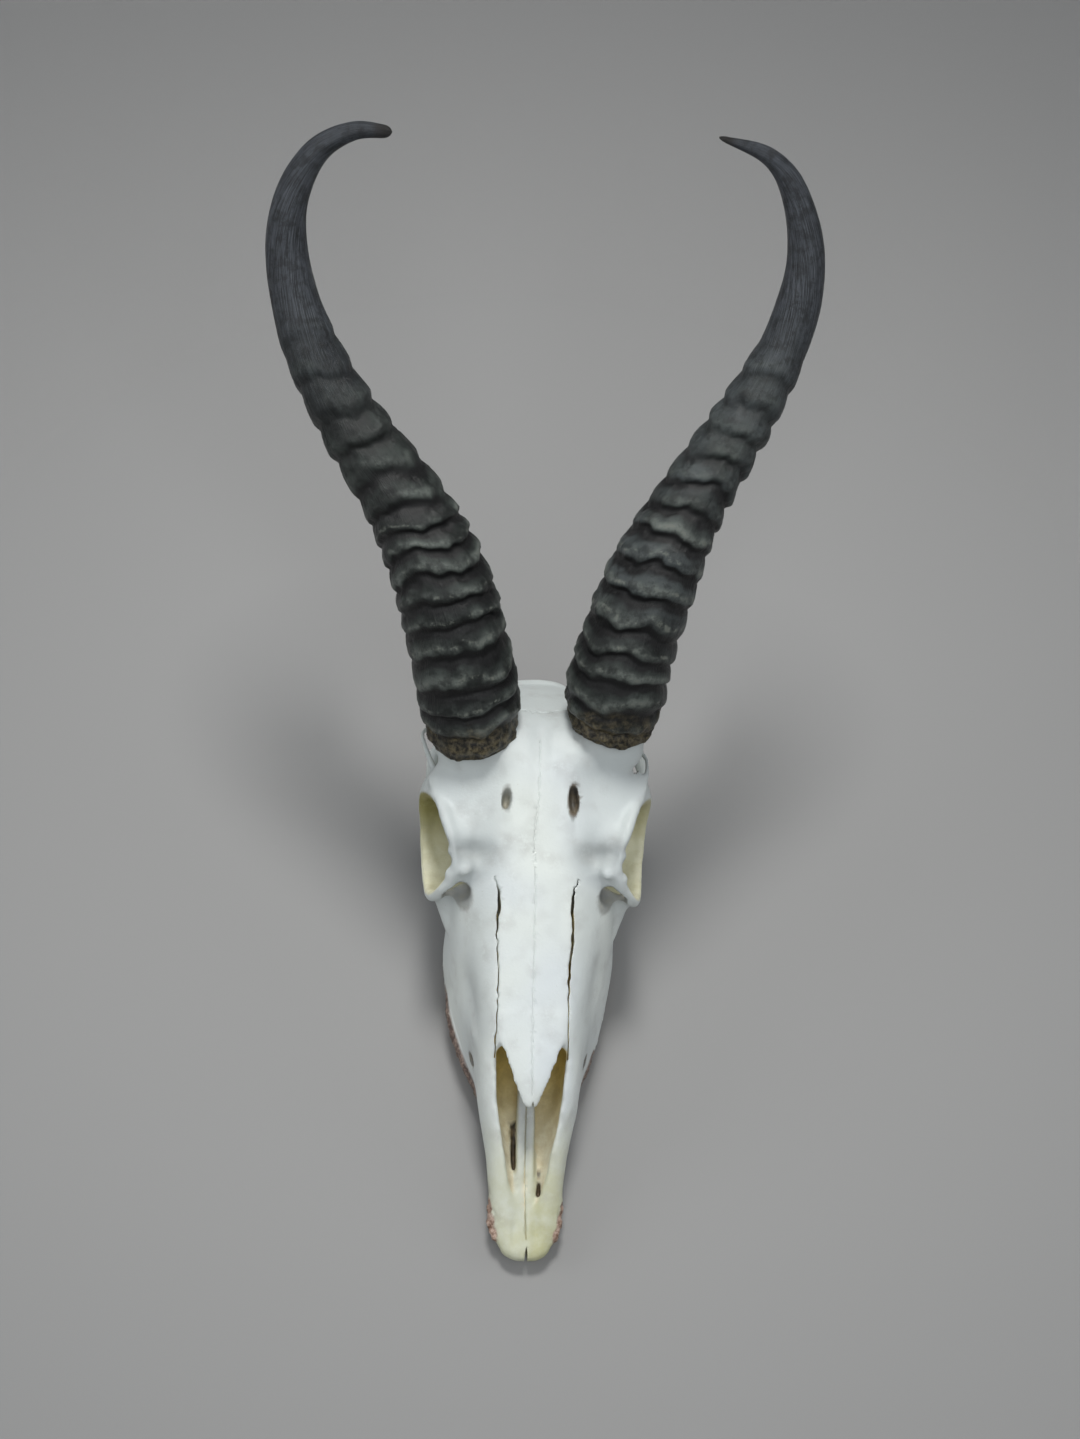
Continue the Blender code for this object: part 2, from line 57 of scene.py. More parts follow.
view = {
    "distance": 1400,  # millimetres from the lens to the forehead
    "aim": (0, 138, 85),  # the point that the photograph shows at aimPixel
    "aimPixel": (537, 871),
    "frame": (1080, 1439),
    "millimetresPerPixel": 0.405,
    "faceSlope": 60,  # degrees that the camera looks down
    "yaw": 3,
    "roll": 1.86,
}


def makeCamera():
    slope, yaw, roll = (math.radians(view[name]) for name in ("faceSlope", "yaw", "roll"))
    outward = Vector((0, -math.cos(slope), math.sin(slope)))
    upward = Vector((0, math.sin(slope), math.cos(slope)))
    sideways = Vector((1, 0, 0))
    back = outward * math.cos(yaw) - sideways * math.sin(yaw)
    right = sideways * math.cos(yaw) + outward * math.sin(yaw)
    turnedRight = right * math.cos(roll) + upward * math.sin(roll)
    turnedUp = upward * math.cos(roll) - right * math.sin(roll)
    focal = view["distance"] / view["millimetresPerPixel"]
    wide, tall = view["frame"]
    offRight = (view["aimPixel"][0] - wide / 2) / focal
    offUp = -(view["aimPixel"][1] - tall / 2) / focal
    ray = -back + turnedRight * offRight + turnedUp * offUp
    bpy.ops.object.camera_add()
    camera = bpy.context.object
    turn = Matrix((turnedRight, turnedUp, back)).transposed().to_4x4()
    place = toRow(view["aim"]) - ray * view["distance"] * 0.001
    camera.matrix_world = Matrix.Translation(place) @ turn
    camera.data.lens = focal / tall * camera.data.sensor_width
    camera.data.clip_start = 0.05
    bpy.context.scene.camera = camera


# Each lamp: place in metres, size, watts, spread in degrees and colour.
lamps = {
    "overhead": ((-0.05, 0.6, 1.8), 0.5, 1.25, 40, (1, 0.995, 0.975)),
    "front": ((0.1, -0.95, 1.6), 1.0, 8.6, 180, (0.96, 0.985, 1)),
    "leftFill": ((-1.5, -0.1, 0.8), 1.0, 5, 180, (0.97, 0.99, 1)),
    "rightFill": ((1.5, -0.1, 0.8), 1.0, 2.8, 180, (0.97, 0.99, 1)),
}

room = {
    "lampsAimAt": (0, 0.04, 0.08),
    "skyColour": (0.88, 0.91, 0.94, 1),
    "skyStrength": 0.28,
    "floorSize": 9,
    "floorLevel": -0.0004,  # just under the teeth
    "floorColour": (0.31, 0.308, 0.306, 1),
    "floorRoughness": 0.9,
    "floorGloss": 0.1,
}


def addLamp(name, place, size, watts, spread, colour):
    bpy.ops.object.light_add(type="AREA", location=place)
    lamp = bpy.context.object
    lamp.name = name
    lamp.data.shape = "DISK"
    lamp.data.size = size
    lamp.data.energy = watts
    lamp.data.spread = math.radians(spread)
    lamp.data.color = colour
    towards = Vector(room["lampsAimAt"]) - Vector(place)
    lamp.rotation_euler = towards.to_track_quat("-Z", "Y").to_euler()


def makeStudio():
    for name, settings in lamps.items():
        addLamp(name, *settings)
    world = bpy.data.worlds.new("studio")
    world.use_nodes = True
    sky = world.node_tree.nodes["Background"]
    sky.inputs["Color"].default_value = room["skyColour"]
    sky.inputs["Strength"].default_value = room["skyStrength"]
    bpy.context.scene.world = world
    bpy.ops.mesh.primitive_plane_add(size=room["floorSize"], location=(0, 0, room["floorLevel"]))
    floor = bpy.context.object
    floor.name = "floor"
    paint = bpy.data.materials.new("floorPaint")
    paint.use_nodes = True
    surface = paint.node_tree.nodes["Principled BSDF"]
    surface.inputs["Base Color"].default_value = room["floorColour"]
    surface.inputs["Roughness"].default_value = room["floorRoughness"]
    surface.inputs["Specular IOR Level"].default_value = room["floorGloss"]
    floor.data.materials.append(paint)
    bpy.context.scene.view_settings.view_transform = "Standard"


bpy.ops.object.select_all(action="DESELECT")
makeCamera()
makeStudio()
print("camera, light and floor in place")


def smoothRows(rows, steps, closed=False):
    # a Catmull-Rom curve through points or through whole rings
    rows = np.asarray(rows, float)
    if closed:
        padded = np.concatenate([rows[-1:], rows, rows[:2]])
    else:
        padded = np.concatenate([2 * rows[:1] - rows[1:2], rows, 2 * rows[-1:] - rows[-2:-1]])
    smooth = []
    for before, start, end, after in zip(padded, padded[1:], padded[2:], padded[3:]):
        for t in np.arange(steps) / steps:
            smooth.append(
                start
                + (end - before) * t / 2
                + (2 * before - 5 * start + 4 * end - after) * t**2 / 2
                + (3 * start - before - 3 * end + after) * t**3 / 2
            )
    if not closed:
        smooth.append(rows[-1])
    return np.array(smooth)


def between(keys, at):
    places, values = zip(*keys)
    return np.interp(at, places, values)


def ease(low, high, value):
    t = np.clip((value - low) / (high - low), 0, 1)
    return t * t * (3 - 2 * t)


def startPiece(name):
    bpy.ops.object.select_all(action="DESELECT")
    piece = bpy.data.objects.new(name, bpy.data.meshes.new(name))
    bpy.context.scene.collection.objects.link(piece)
    bpy.context.view_layer.objects.active = piece
    piece.select_set(True)
    bpy.ops.object.mode_set(mode="EDIT")
    return piece


def endPiece(piece):
    bpy.ops.mesh.select_all(action="SELECT")
    bpy.ops.mesh.normals_make_consistent(inside=False)
    bpy.ops.object.mode_set(mode="OBJECT")
    return piece


def drawOut(piece, rings):
    # a disc is extruded ring by ring, and each new end is moved to its section
    bpy.ops.mesh.select_all(action="DESELECT")
    bpy.ops.mesh.primitive_circle_add(vertices=len(rings[0]), fill_type="NGON")
    for step, ring in enumerate(rings):
        if step:
            bpy.ops.mesh.extrude_region()
        mesh = bmesh.from_edit_mesh(piece.data)
        mesh.faces.ensure_lookup_table()
        newest = range(len(mesh.faces) - 1, -1, -1)
        end = next(mesh.faces[i] for i in newest if mesh.faces[i].select)
        for corner, point in zip(end.verts, ring):
            corner.co = toRow(point)
        bmesh.update_edit_mesh(piece.data)


def drawSections(piece, sections, stepsAlong=4, stepsRound=3):
    # cross-sections are given as right halves, from the midline above to the midline below
    rings = []
    for y, half in sections:
        right = [(x, y, z) for x, z in half]
        left = [(-x, y, z) for x, z in reversed(half) if x > 0]
        rings.append(right + left)
    rings = smoothRows(rings, stepsAlong)
    drawOut(piece, [smoothRows(ring, stepsRound, closed=True) for ring in rings])


def drawBar(piece, path, sizes, steps=5, sides=12, flatTo=(0, 0, 1)):
    # an oval bar along a smooth path; each size is half its width and half its depth
    centres = smoothRows(path, steps)
    spread = smoothRows(sizes, steps)
    along = np.gradient(centres, axis=0)
    rings = []
    for centre, direction, (halfWidth, halfDepth) in zip(centres, along, spread):
        direction = Vector(direction).normalized()
        depth = Vector(flatTo)
        depth = (depth - direction * depth.dot(direction)).normalized()
        width = depth.cross(direction)
        ring = []
        for i in range(sides):
            angle = 2 * math.pi * i / sides
            offset = width * halfWidth * math.cos(angle) + depth * halfDepth * math.sin(angle)
            ring.append(Vector(centre) + offset)
        rings.append(ring)
    drawOut(piece, rings)


def addBlob(centre, radii, turn=(0, 0, 0)):
    bpy.ops.mesh.primitive_ico_sphere_add(
        subdivisions=4, radius=0.001, location=toRow(centre),
        rotation=[math.radians(a) for a in turn], scale=radii,
    )


def mirrored(points, side):
    return [(side * x, y, z) for x, y, z in points]


def applyModifier(piece, kind, **settings):
    modifier = piece.modifiers.new(kind.title(), kind)
    for key, value in settings.items():
        setattr(modifier, key, value)
    bpy.context.view_layer.objects.active = piece
    bpy.ops.object.modifier_apply(modifier=modifier.name)


def fuse(piece, voxel):
    applyModifier(piece, "REMESH", mode="VOXEL", voxel_size=voxel * 0.001)


def join(piece, extra):
    bpy.ops.object.select_all(action="DESELECT")
    extra.select_set(True)
    piece.select_set(True)
    bpy.context.view_layer.objects.active = piece
    bpy.ops.object.join()


def carve(piece, cutter, voxel=None):
    if voxel:
        fuse(cutter, voxel)
    applyModifier(piece, "BOOLEAN", operation="DIFFERENCE", object=cutter)
    bpy.data.objects.remove(cutter, do_unlink=True)


def readPoints(piece):
    flat = np.zeros(len(piece.data.vertices) * 3)
    piece.data.vertices.foreach_get("co", flat)
    return toModel(flat.reshape(-1, 3))


def readNormals(piece):
    flat = np.zeros(len(piece.data.vertices) * 3)
    piece.data.vertices.foreach_get("normal", flat)
    return flat.reshape(-1, 3)


def writePoints(piece, points):
    flat = np.asarray(points) * 0.001 + np.array(tableCorner)
    piece.data.vertices.foreach_set("co", flat.ravel())
    piece.data.update()


def keep(piece, name, values):
    # a value for each point of a piece, which its material reads by name
    kind, field = ("FLOAT_VECTOR", "vector") if np.ndim(values) == 2 else ("FLOAT", "value")
    attribute = piece.data.attributes.new(name, kind, "POINT")
    attribute.data.foreach_set(field, np.asarray(values, float).ravel())


def roughness(points, size, octaves=3):
    # fractal noise at each point, about -1 to 1, with lumps of the given size
    return np.array([noise.fractal(Vector(p) / size, 1, 2, octaves) for p in points])


def shelter(piece, reach=26, rays=14):
    # how enclosed each point is: 0 in the open and 1 deep in a hollow
    tree = BVHTree.FromObject(piece, bpy.context.evaluated_depsgraph_get())
    points = readPoints(piece) * 0.001 + np.array(tableCorner)
    golden = math.pi * (3 - math.sqrt(5))
    fan = []
    for i in range(rays):
        up = 1 - (i + 0.5) / rays * 0.92
        ring = math.sqrt(1 - up * up)
        fan.append(Vector((ring * math.cos(golden * i), ring * math.sin(golden * i), up)))
    closed = np.zeros(len(points))
    for i, normal in enumerate(readNormals(piece)):
        turn = Vector(normal).to_track_quat("Z", "Y")
        start = Vector(points[i]) + Vector(normal) * 0.0006
        for ray in fan:
            distance = tree.ray_cast(start, turn @ ray, reach * 0.001)[3]
            if distance is not None:
                closed[i] += 1 - 0.5 * distance / (reach * 0.001)
    closed /= rays
    edges = np.zeros(len(piece.data.edges) * 2, int)
    piece.data.edges.foreach_get("vertices", edges)
    ends = edges.reshape(-1, 2)
    for _ in range(3):
        total, count = closed.copy(), np.ones(len(closed))
        for a, b in ((0, 1), (1, 0)):
            np.add.at(total, ends[:, a], closed[ends[:, b]])
            np.add.at(count, ends[:, a], 1)
        closed = total / count
    return closed


class Wiring:
    # the few node set-ups that the materials are made of

    def __init__(self, name):
        self.material = bpy.data.materials.new(name)
        self.material.use_nodes = True
        self.nodes = self.material.node_tree.nodes
        self.links = self.material.node_tree.links
        self.surface = self.nodes["Principled BSDF"]
        self.place = self.nodes.new("ShaderNodeTexCoord").outputs["Object"]

    def feed(self, socket, value):
        if isinstance(value, bpy.types.NodeSocket):
            self.links.new(value, socket)
        elif isinstance(value, tuple) and len(value) == 3 and socket.type == "RGBA":
            socket.default_value = (*value, 1)
        else:
            socket.default_value = value

    def attribute(self, name, vector=False):
        node = self.nodes.new("ShaderNodeAttribute")
        node.attribute_name = name
        return node.outputs["Vector" if vector else "Fac"]

    def noise(self, scale, detail=4, roughness=0.55, at=None):
        node = self.nodes.new("ShaderNodeTexNoise")
        self.links.new(at or self.place, node.inputs["Vector"])
        node.inputs["Scale"].default_value = scale
        node.inputs["Detail"].default_value = detail
        node.inputs["Roughness"].default_value = roughness
        return node.outputs["Fac"]

    def span(self, value, low, high, toLow=0.0, toHigh=1.0):
        node = self.nodes.new("ShaderNodeMapRange")
        node.interpolation_type = "SMOOTHSTEP"
        for socket, number in zip(node.inputs, (value, low, high, toLow, toHigh)):
            self.feed(socket, number)
        return node.outputs["Result"]

    def maths(self, operation, a, b=0.0):
        node = self.nodes.new("ShaderNodeMath")
        node.operation = operation
        self.feed(node.inputs[0], a)
        self.feed(node.inputs[1], b)
        return node.outputs["Value"]

    def blend(self, share, below, above, kind="MIX"):
        node = self.nodes.new("ShaderNodeMix")
        node.data_type = "RGBA"
        node.blend_type = kind
        self.feed(node.inputs["Factor"], share)
        self.feed(node.inputs["A"], below)
        self.feed(node.inputs["B"], above)
        return node.outputs["Result"]

    def bump(self, height, distance, strength=1.0):
        node = self.nodes.new("ShaderNodeBump")
        node.inputs["Strength"].default_value = strength
        node.inputs["Distance"].default_value = distance
        self.links.new(height, node.inputs["Height"])
        self.links.new(node.outputs["Normal"], self.surface.inputs["Normal"])

    def finish(self, colour, rough):
        self.feed(self.surface.inputs["Base Color"], colour)
        self.feed(self.surface.inputs["Roughness"], rough)
        return self.material


skullShape = {
    "orbitRadius": 21.5,
    "orbitCentre": (157, 70),  # Y and Z
    "orbitDepth": 26,  # from the midline to the inner end of the socket's walls
    "rimThickness": 2.5,
    "nasalThickness": 2.6,
    "fissureWidth": 1.3,
    "rodsMiddle": -0.6,  # the two rods in the nose lie a little to the left
    "coarse": 1.1,  # millimetres of the first skins
    "fine": 0.8,
    "seamSkin": 0.16,
    "triangles": 140000,
}

# Right half of the face, from the midline above to the midline below: nasal roof, nasal edge,
# shoulder, upper flank, lower flank, outer tooth edge, inner tooth edge, palate.
faceSections = (
    (0.4, ((0, 8.6), (2.2, 8.8), (3.6, 8.4), (4.4, 7.8), (4.6, 7), (4, 6.2), (2.2, 6), (0, 6))),
    (3, ((0, 10.4), (4.4, 10.8), (7, 10.2), (8.6, 9.2), (9, 7.6), (8.4, 5.8), (4.5, 5), (0, 5))),
    (7, ((0, 11.5), (5, 12), (8, 11.5), (10, 10.5), (11, 8.5), (10, 5.5), (5, 4.5), (0, 5))),
    (14, ((0, 13), (6, 14), (10, 13.5), (12.5, 12), (13.4, 9), (12, 5.5), (6, 5), (0, 5.5))),
    (24, ((0, 17), (8, 18.5), (11.5, 18), (13.8, 15.5), (14.8, 11), (13, 7), (8, 6.5), (0, 7))),
    (42, ((0, 28), (8, 29), (12, 28.8), (14.8, 25.8), (16.8, 19), (15, 10.5), (10, 9.5), (0, 10))),
    (58, ((0, 38), (11, 40), (14, 39.9), (17.6, 36), (20, 25), (18, 13), (12, 12), (0, 12.5))),
    (70, ((0, 46), (13.5, 48), (16.8, 47.2), (19.8, 41.5), (21.6, 28), (20, 11.5), (14, 12),
          (0, 14))),
    (77, ((0, 57), (13.5, 55.5), (18, 51.5), (21, 43), (22.5, 26), (22.5, 10), (13.5, 10),
          (0, 15.5))),
    (90, ((0, 64), (14, 62), (19.5, 56.7), (23.5, 46), (26, 30), (27.5, 10), (16, 10), (0, 17.5))),
    (105, ((0, 70.5), (14, 68.5), (21.5, 62.3), (26.5, 50.5), (29.5, 35), (31.5, 10), (18.5, 10),
           (0, 19))),
    (120, ((0, 77.5), (14.5, 75.5), (23.5, 68.2), (29, 56.5), (32, 42), (34, 10), (19.5, 10),
           (0, 20.5))),
    (134, ((0, 84), (15.5, 82), (25.5, 75), (32, 62.5), (34.5, 46), (34.5, 10), (20, 10), (0, 22))),
    (146, ((0, 89), (16.5, 87.5), (28, 82), (31, 68), (33, 48), (29, 24), (20, 20), (0, 32))),
    (158, ((0, 94), (17, 93), (30, 87), (30, 70), (25, 52), (18, 38), (12, 34), (0, 36))),
)

# Right half of the braincase and the forehead.
braincaseSections = (
    (138, ((0, 84.5), (15, 84), (26.5, 79), (29.5, 72), (20, 60), (13, 48), (0, 44))),
    (150, ((0, 91), (17, 90.5), (31, 85.5), (33.5, 82.5), (22, 68), (13, 48), (0, 40))),
    (160, ((0, 96), (18, 95.2), (35, 90), (37.5, 87), (24, 72), (14, 50), (0, 38))),
    (170, ((0, 101), (20, 100.3), (39.5, 91.5), (42.5, 87.5), (28, 76), (18, 54), (0, 36))),
    (178, ((0, 104), (22, 106), (42.5, 91), (44.5, 86), (32, 74), (24, 54), (0, 34))),
    (186, ((0, 106.5), (24, 109), (38, 95), (38.5, 88), (33, 72), (28, 52), (0, 33))),
    (196, ((0, 106.5), (24, 107), (36, 93), (36, 83), (33, 68), (29, 50), (0, 33))),
    (208, ((0, 100), (18, 98), (29, 88), (32, 76), (32, 62), (28, 46), (0, 32))),
    (220, ((0, 89.5), (13, 88), (23, 80), (28, 68), (28, 56), (24, 42), (0, 32))),
    (231, ((0, 76), (9, 74.5), (17, 69), (22, 62), (23, 52), (20, 40), (0, 33))),
    (237, ((0, 67), (6, 66), (12, 62), (15, 56), (15, 50), (12, 44), (0, 42))),
)

# Free ends of the nasal bones: Y, height of the midline, half width.
nasalTip = ((50.8, 46.6, 2.3), (52.2, 47.4, 3.5), (55, 48.8, 4.8), (60, 51.2, 7.2), (66, 53.8, 9.8),
            (71, 56, 12), (76, 58, 13.6), (86, 62.4, 13.8))

# Nasal opening from above, right half: Y and half width.
nasalOpening = ((12, 3.5), (15, 4.3), (21, 5.6), (31, 8), (46, 9.8), (57, 12.4), (66, 13.6),
                (74.5, 14.2))

# Right half of the hollow inside the nose.
noseInside = (
    (22, ((0, 19), (2.5, 18), (3.4, 14), (2.5, 11.5), (0, 11))),
    (42, ((0, 36), (8, 35), (10, 26), (7, 15.5), (0, 14))),
    (58, ((0, 45), (11.5, 44), (13, 32), (10, 18.5), (0, 16.5))),
    (76, ((0, 53.5), (11.5, 51.5), (16, 38), (12, 21), (0, 19.5))),
    (92, ((0, 60), (11.5, 58), (18, 42), (13.5, 25), (0, 23))),
    (108, ((0, 66), (11, 64), (18, 46), (13, 30), (0, 27))),
    (120, ((0, 66), (8, 64), (12, 50), (9, 38), (0, 35))),
)

# Half width of the rim of an eye socket, each 30 degrees from the top towards the back. In
# front of the top it lies well inside the cheek's edge, so that the socket shows from above.
rimHalfWidths = (37.4, 40.2, 44.6, 46, 45.2, 44.6, 43.8, 43, 41.6, 38, 33.2, 33.8)


def rimPoints(side, count):
    y, z = skullShape["orbitCentre"]
    reach = skullShape["orbitRadius"]
    halves = smoothRows([(half,) for half in rimHalfWidths], count // 12, closed=True)[:, 0]
    points = []
    for i, half in enumerate(halves):
        angle = 2 * math.pi * i / len(halves)
        points.append((side * half, y + reach * math.sin(angle), z + reach * math.cos(angle)))
    return points


# Seams seen from above: course as X and Y, how much it wanders, half its width.
sutures = (
    (((0.4, 55), (0, 80), (-0.3, 110), (-0.8, 139)), 0.25, 0.2),
    (((-0.8, 141), (-1.4, 150), (-0.2, 166), (0, 186)), 0.8, 0.22),
    (((-24, 208), (-14, 204), (0, 201), (14, 204), (24, 208)), 1.5, 0.25),
)

# Soft swellings and dents: centre, reach along X, Y and Z, and height.
relief = (
    ((27, 145, 84), (9, 4.2, 9), -2.8), ((-27, 145, 84), (9, 4.2, 9), -2.8),
    ((-4.4, 12, 11.5), (1.5, 6, 4), -1.3), ((4.2, 12, 11.5), (1.5, 6, 4), -1.3),
    ((29, 158, 91), (7, 4, 6), 0.7), ((-29, 158, 91), (7, 4, 6), 0.7),
    ((22, 170, 103), (9, 12, 6), -1.6), ((-22, 170, 103), (9, 12, 6), -1.6),
    ((10.5, 122, 78), (2.5, 16, 6), -0.5), ((-10.5, 122, 78), (2.5, 16, 6), -0.5),
    ((-27, 99, 48), (6, 12, 9), -1.8), ((28, 103, 50), (6, 16, 9), -1.3),
    ((-23.5, 85, 42), (3, 4, 4), 1.1), ((23.5, 82, 40), (3, 4, 4), 0.6),
    ((5.5, 180, 104), (3, 15, 9), 0.9), ((-5.5, 180, 104), (3, 15, 9), 0.9),
    ((15.5, 155, 94), (2.4, 9, 6), -0.9), ((-14.5, 154, 94), (2.8, 9, 6), -1.0),
    ((26, 166, 98), (8, 9, 8), -1.0), ((-26, 166, 98), (8, 9, 8), -1.0),
)


def drawMasses():
    skull = startPiece("skull_bone")
    drawSections(skull, faceSections)
    drawSections(skull, braincaseSections)
    for side in (-1, 1):
        addBlob((side * 26, 190, 98), (17, 15, 13), (28, 0, 0))  # under the horn
        addBlob((side * 27, 138, 34), (8, 11, 18))  # bulge over the last molar
        addBlob((side * 34.5, 143, 53), (6.5, 8, 10), (0, 0, side * -25))  # cheek bone
        rim = rimPoints(side, 48)
        drawOut(skull, [[(side * skullShape["orbitDepth"], y, z) for _, y, z in rim], rim])
    return endPiece(skull)


def drawHollows():
    cutter = startPiece("hollows")
    for side in (-1, 1):
        addBlob((side * 43, 157, 68), (28, 19.6, 18), (0, side * 4, side * -6))  # eye socket
        addBlob((side * 46, 201.5, 64), (14.5, 19.5, 19), (0, 0, side * 6))  # temple
        addBlob((side * 40, 174, 30), (18, 22, 16))  # below the socket
    addBlob((0, 160, 24), (10.5, 34, 13))  # between the wings behind the palate
    addBlob((0, 244, 47), (7.5, 18, 7))  # where the spine enters
    drawSections(cutter, noseInside)
    rings = []
    for y, half in nasalOpening:
        low = 11 + 0.12 * y
        rings.append((y, ((0, 80), (half, 80), (half, low + 6), (half * 0.7, low), (0, low))))
    drawSections(cutter, rings, stepsRound=1)
    return endPiece(cutter)


# Dried gum on the sides of the muzzle: centre and radii.
gumRemnants = (
    ((-13.2, 11.5, 9), (1.7, 3.2, 2)), ((-14, 17, 9.8), (1.9, 3.2, 2.2)),
    ((-14.4, 22.5, 10.5), (1.6, 2.8, 2.2)), ((12.9, 11, 9), (1.4, 3, 1.9)),
    ((13.9, 16.5, 9.8), (1.5, 3.2, 2)), ((14.5, 22.5, 10.5), (1.3, 2.6, 2)),
)

# Thin bars that stand off beside the horns, behind each socket.
templeBars = (
    ((43, 177, 88), (45.2, 185, 87), (44, 196, 81), (33, 207, 72)),
    ((-42, 183, 84), (-46, 194, 84), (-46.4, 205, 80), (-31, 215, 68)),
)

# Crusted edge over the tooth sockets: course and half thickness.
socketCrusts = (
    (((-20.6, 70, 15), (-23.4, 79, 14), (-28.2, 91, 14), (-31.9, 105, 14), (-33.4, 115, 15)), 1.7),
    (((21.6, 76, 14), (24.4, 82, 14), (26.8, 88, 14)), 1.5),
)


def drawThinBones():
    thin = startPiece("thin_bones")
    for centre, radii in gumRemnants:
        addBlob(centre, radii)
    for course, half in socketCrusts:
        sizes = [(half * share, 3.4 * share) for share in [0.5] + [1] * (len(course) - 2) + [0.5]]
        drawBar(thin, course, sizes)
    tips = []
    for y, top, half in nasalTip:
        low = top - skullShape["nasalThickness"]
        edge = (half, top - 1.7)
        tips.append((y, ((0, top), (0.6 * half, top - 0.5), edge, (0.6 * half, low - 0.6),
                         (0, low))))
    drawSections(thin, tips)
    rim = skullShape["rimThickness"]
    for side in (-1, 1):
        ring = rimPoints(side, 24)
        drawBar(thin, ring + ring[:1], [(rim, rim)] * 25, steps=3, flatTo=(1, 0, 0))
        flare = 3.4 if side > 0 else 0  # the right cheek arch stands out more behind the eye
        arch = mirrored(((32, 130, 44), (36.5, 141, 47), (41, 154, 47), (42.8, 170, 49),
                         (43.6 + 0.5 * flare, 185, 51), (43 + flare, 198, 52),
                         (41 + flare, 210, 52), (31, 218, 48)), side)
        drawBar(thin, arch, [(3, 6), (3, 5), (2.4, 4), (2.2, 4.2), (2.1, 3.8), (2.1, 3.4), (3, 3.6),
                             (4, 4)])
        post = mirrored(((41, 177, 89), (44.2, 179.5, 80), (45, 179.5, 68), (44, 178, 52)), side)
        drawBar(thin, post, [(3, 4), (2.8, 3.4), (2.8, 3.2), (3, 4)], flatTo=(0, 1, 0))
        addBlob((side * 29, 145, 82.5), (4.5, 9, 3.4), (0, side * 20, 0))  # brow
        addBlob((side * 34.4, 145.2, 86.6), (3.2, 2.9, 2.6))  # upper lobe of the socket's rim
        addBlob((side * 34.4, 138.6, 79.3), (3.2, 2.9, 2.8))  # lower lobe
        rod = [(skullShape["rodsMiddle"] + side * x, y, z) for x, y, z in
               ((2, 15, 11.8), (2.3, 34, 15.5), (2.2, 50, 20), (2, 70, 25))]
        drawBar(thin, rod, [(1.8, 2.2), (1.9, 2.4), (1.9, 2.6), (1.8, 3)])
        wing = mirrored(((14, 132, 22), (13, 144, 24), (11.5, 156, 27), (9, 168, 33)), side)
        drawBar(thin, wing, [(2, 7), (1.8, 8), (1.7, 8), (1.8, 5)])
        process = ((27, 216, 44), (26.5, 221, 28), (24.5, 222, 12), (23.5, 221.5, 1))
        drawBar(thin, mirrored(process, side), [(4.5, 7), (3.2, 5.5), (2.8, 4), (2.2, 2.6)],
                flatTo=(0, 1, 0))
        addBlob((side * 17.5, 203, 28), (8, 14, 11), (12, 0, side * 8))  # ear bone
        addBlob((side * 31, 211, 49), (5, 7, 6))  # ear opening's ring
        addBlob((side * 10.5, 234, 38), (6.5, 8.5, 8), (-20, 0, side * 20))  # condyle
    addBlob((0, 231, 72), (14, 4.5, 4))  # crest over the neck
    for course in templeBars:
        drawBar(thin, course, [(1.8, 2.2), (1.2, 1.8), (1.2, 1.8), (1.8, 2.6)])
    drawBar(thin, ((0, 150, 42), (0, 175, 36), (0, 200, 33), (0, 222, 33)),
            [(7, 5), (8, 6), (10, 6), (11, 6)])
    return endPiece(thin)


# Small openings: centre, radii, turn in degrees, how much painted shade darkens their walls, reach
# of that shade.
smallOpenings = (
    ((-32, 135, 70), (6.5, 7, 5), (0, -42, 0), 0.5, (7.5, 8, 6)),  # pits before the eyes
    ((32, 135, 70), (6.5, 7, 5), (0, 42, 0), 0.5, (7.5, 8, 6)),
    ((-25, 80, 27), (7, 2.6, 2), (0, 0, 0), 0.8, (8, 3.2, 2.6)),  # cheek holes
    ((25, 80, 27), (7, 2.6, 2), (0, 0, 0), 0.8, (8, 3.2, 2.6)),
    ((-37, 211, 50), (5, 3, 3), (0, 0, 0), 1, (6, 3.6, 3.6)),  # ear holes
    ((37, 211, 50), (5, 3, 3), (0, 0, 0), 1, (6, 3.6, 3.6)),
    ((-13.2, 164, 98), (1.5, 4.2, 6), (0, 0, -8), 0.45, (2, 5, 7)),  # left forehead holes
    ((-12, 161, 99.5), (2.6, 4.5, 3), (0, 0, -8), 0, (3, 5, 4)),
    ((-13.6, 171, 101), (0.8, 1, 4), (0, 0, 0), 0, (1, 2, 5)),
    ((14.2, 164, 98), (1.6, 5.8, 6), (0, 0, 6), 0.9, (2.2, 6.6, 7)),  # right forehead hole
    ((38.6, 184.8, 87), (2.6, 6.2, 13), (0, 0, 0), 1, (3.4, 7.2, 15)),  # gap beside the thin bar
)

# Holes in the palate: Y and half width.
palateHoles = ((95, 1.2), (112, 0.9))

# Slots in the floor of the nose, and half their width and depth.
floorSlotSize = (0.95, 3.4)
floorSlots = (
    ((-4.9, 33, 15), (-5.3, 44, 16.3), (-5.6, 55, 17.6)),
    ((5, 25, 14.8), (5.6, 34.5, 15.6)),
)


def drawSmallOpenings():
    cutter = startPiece("small_openings")
    for centre, radii, turn, _, _ in smallOpenings:
        addBlob(centre, radii, turn)
    for y, width in palateHoles:
        for side in (-1, 1):
            addBlob((side * 11, y, 18), (width, width * 2.2, 5))
    for path in floorSlots:
        drawBar(cutter, path, [floorSlotSize] * len(path))
    return endPiece(cutter)


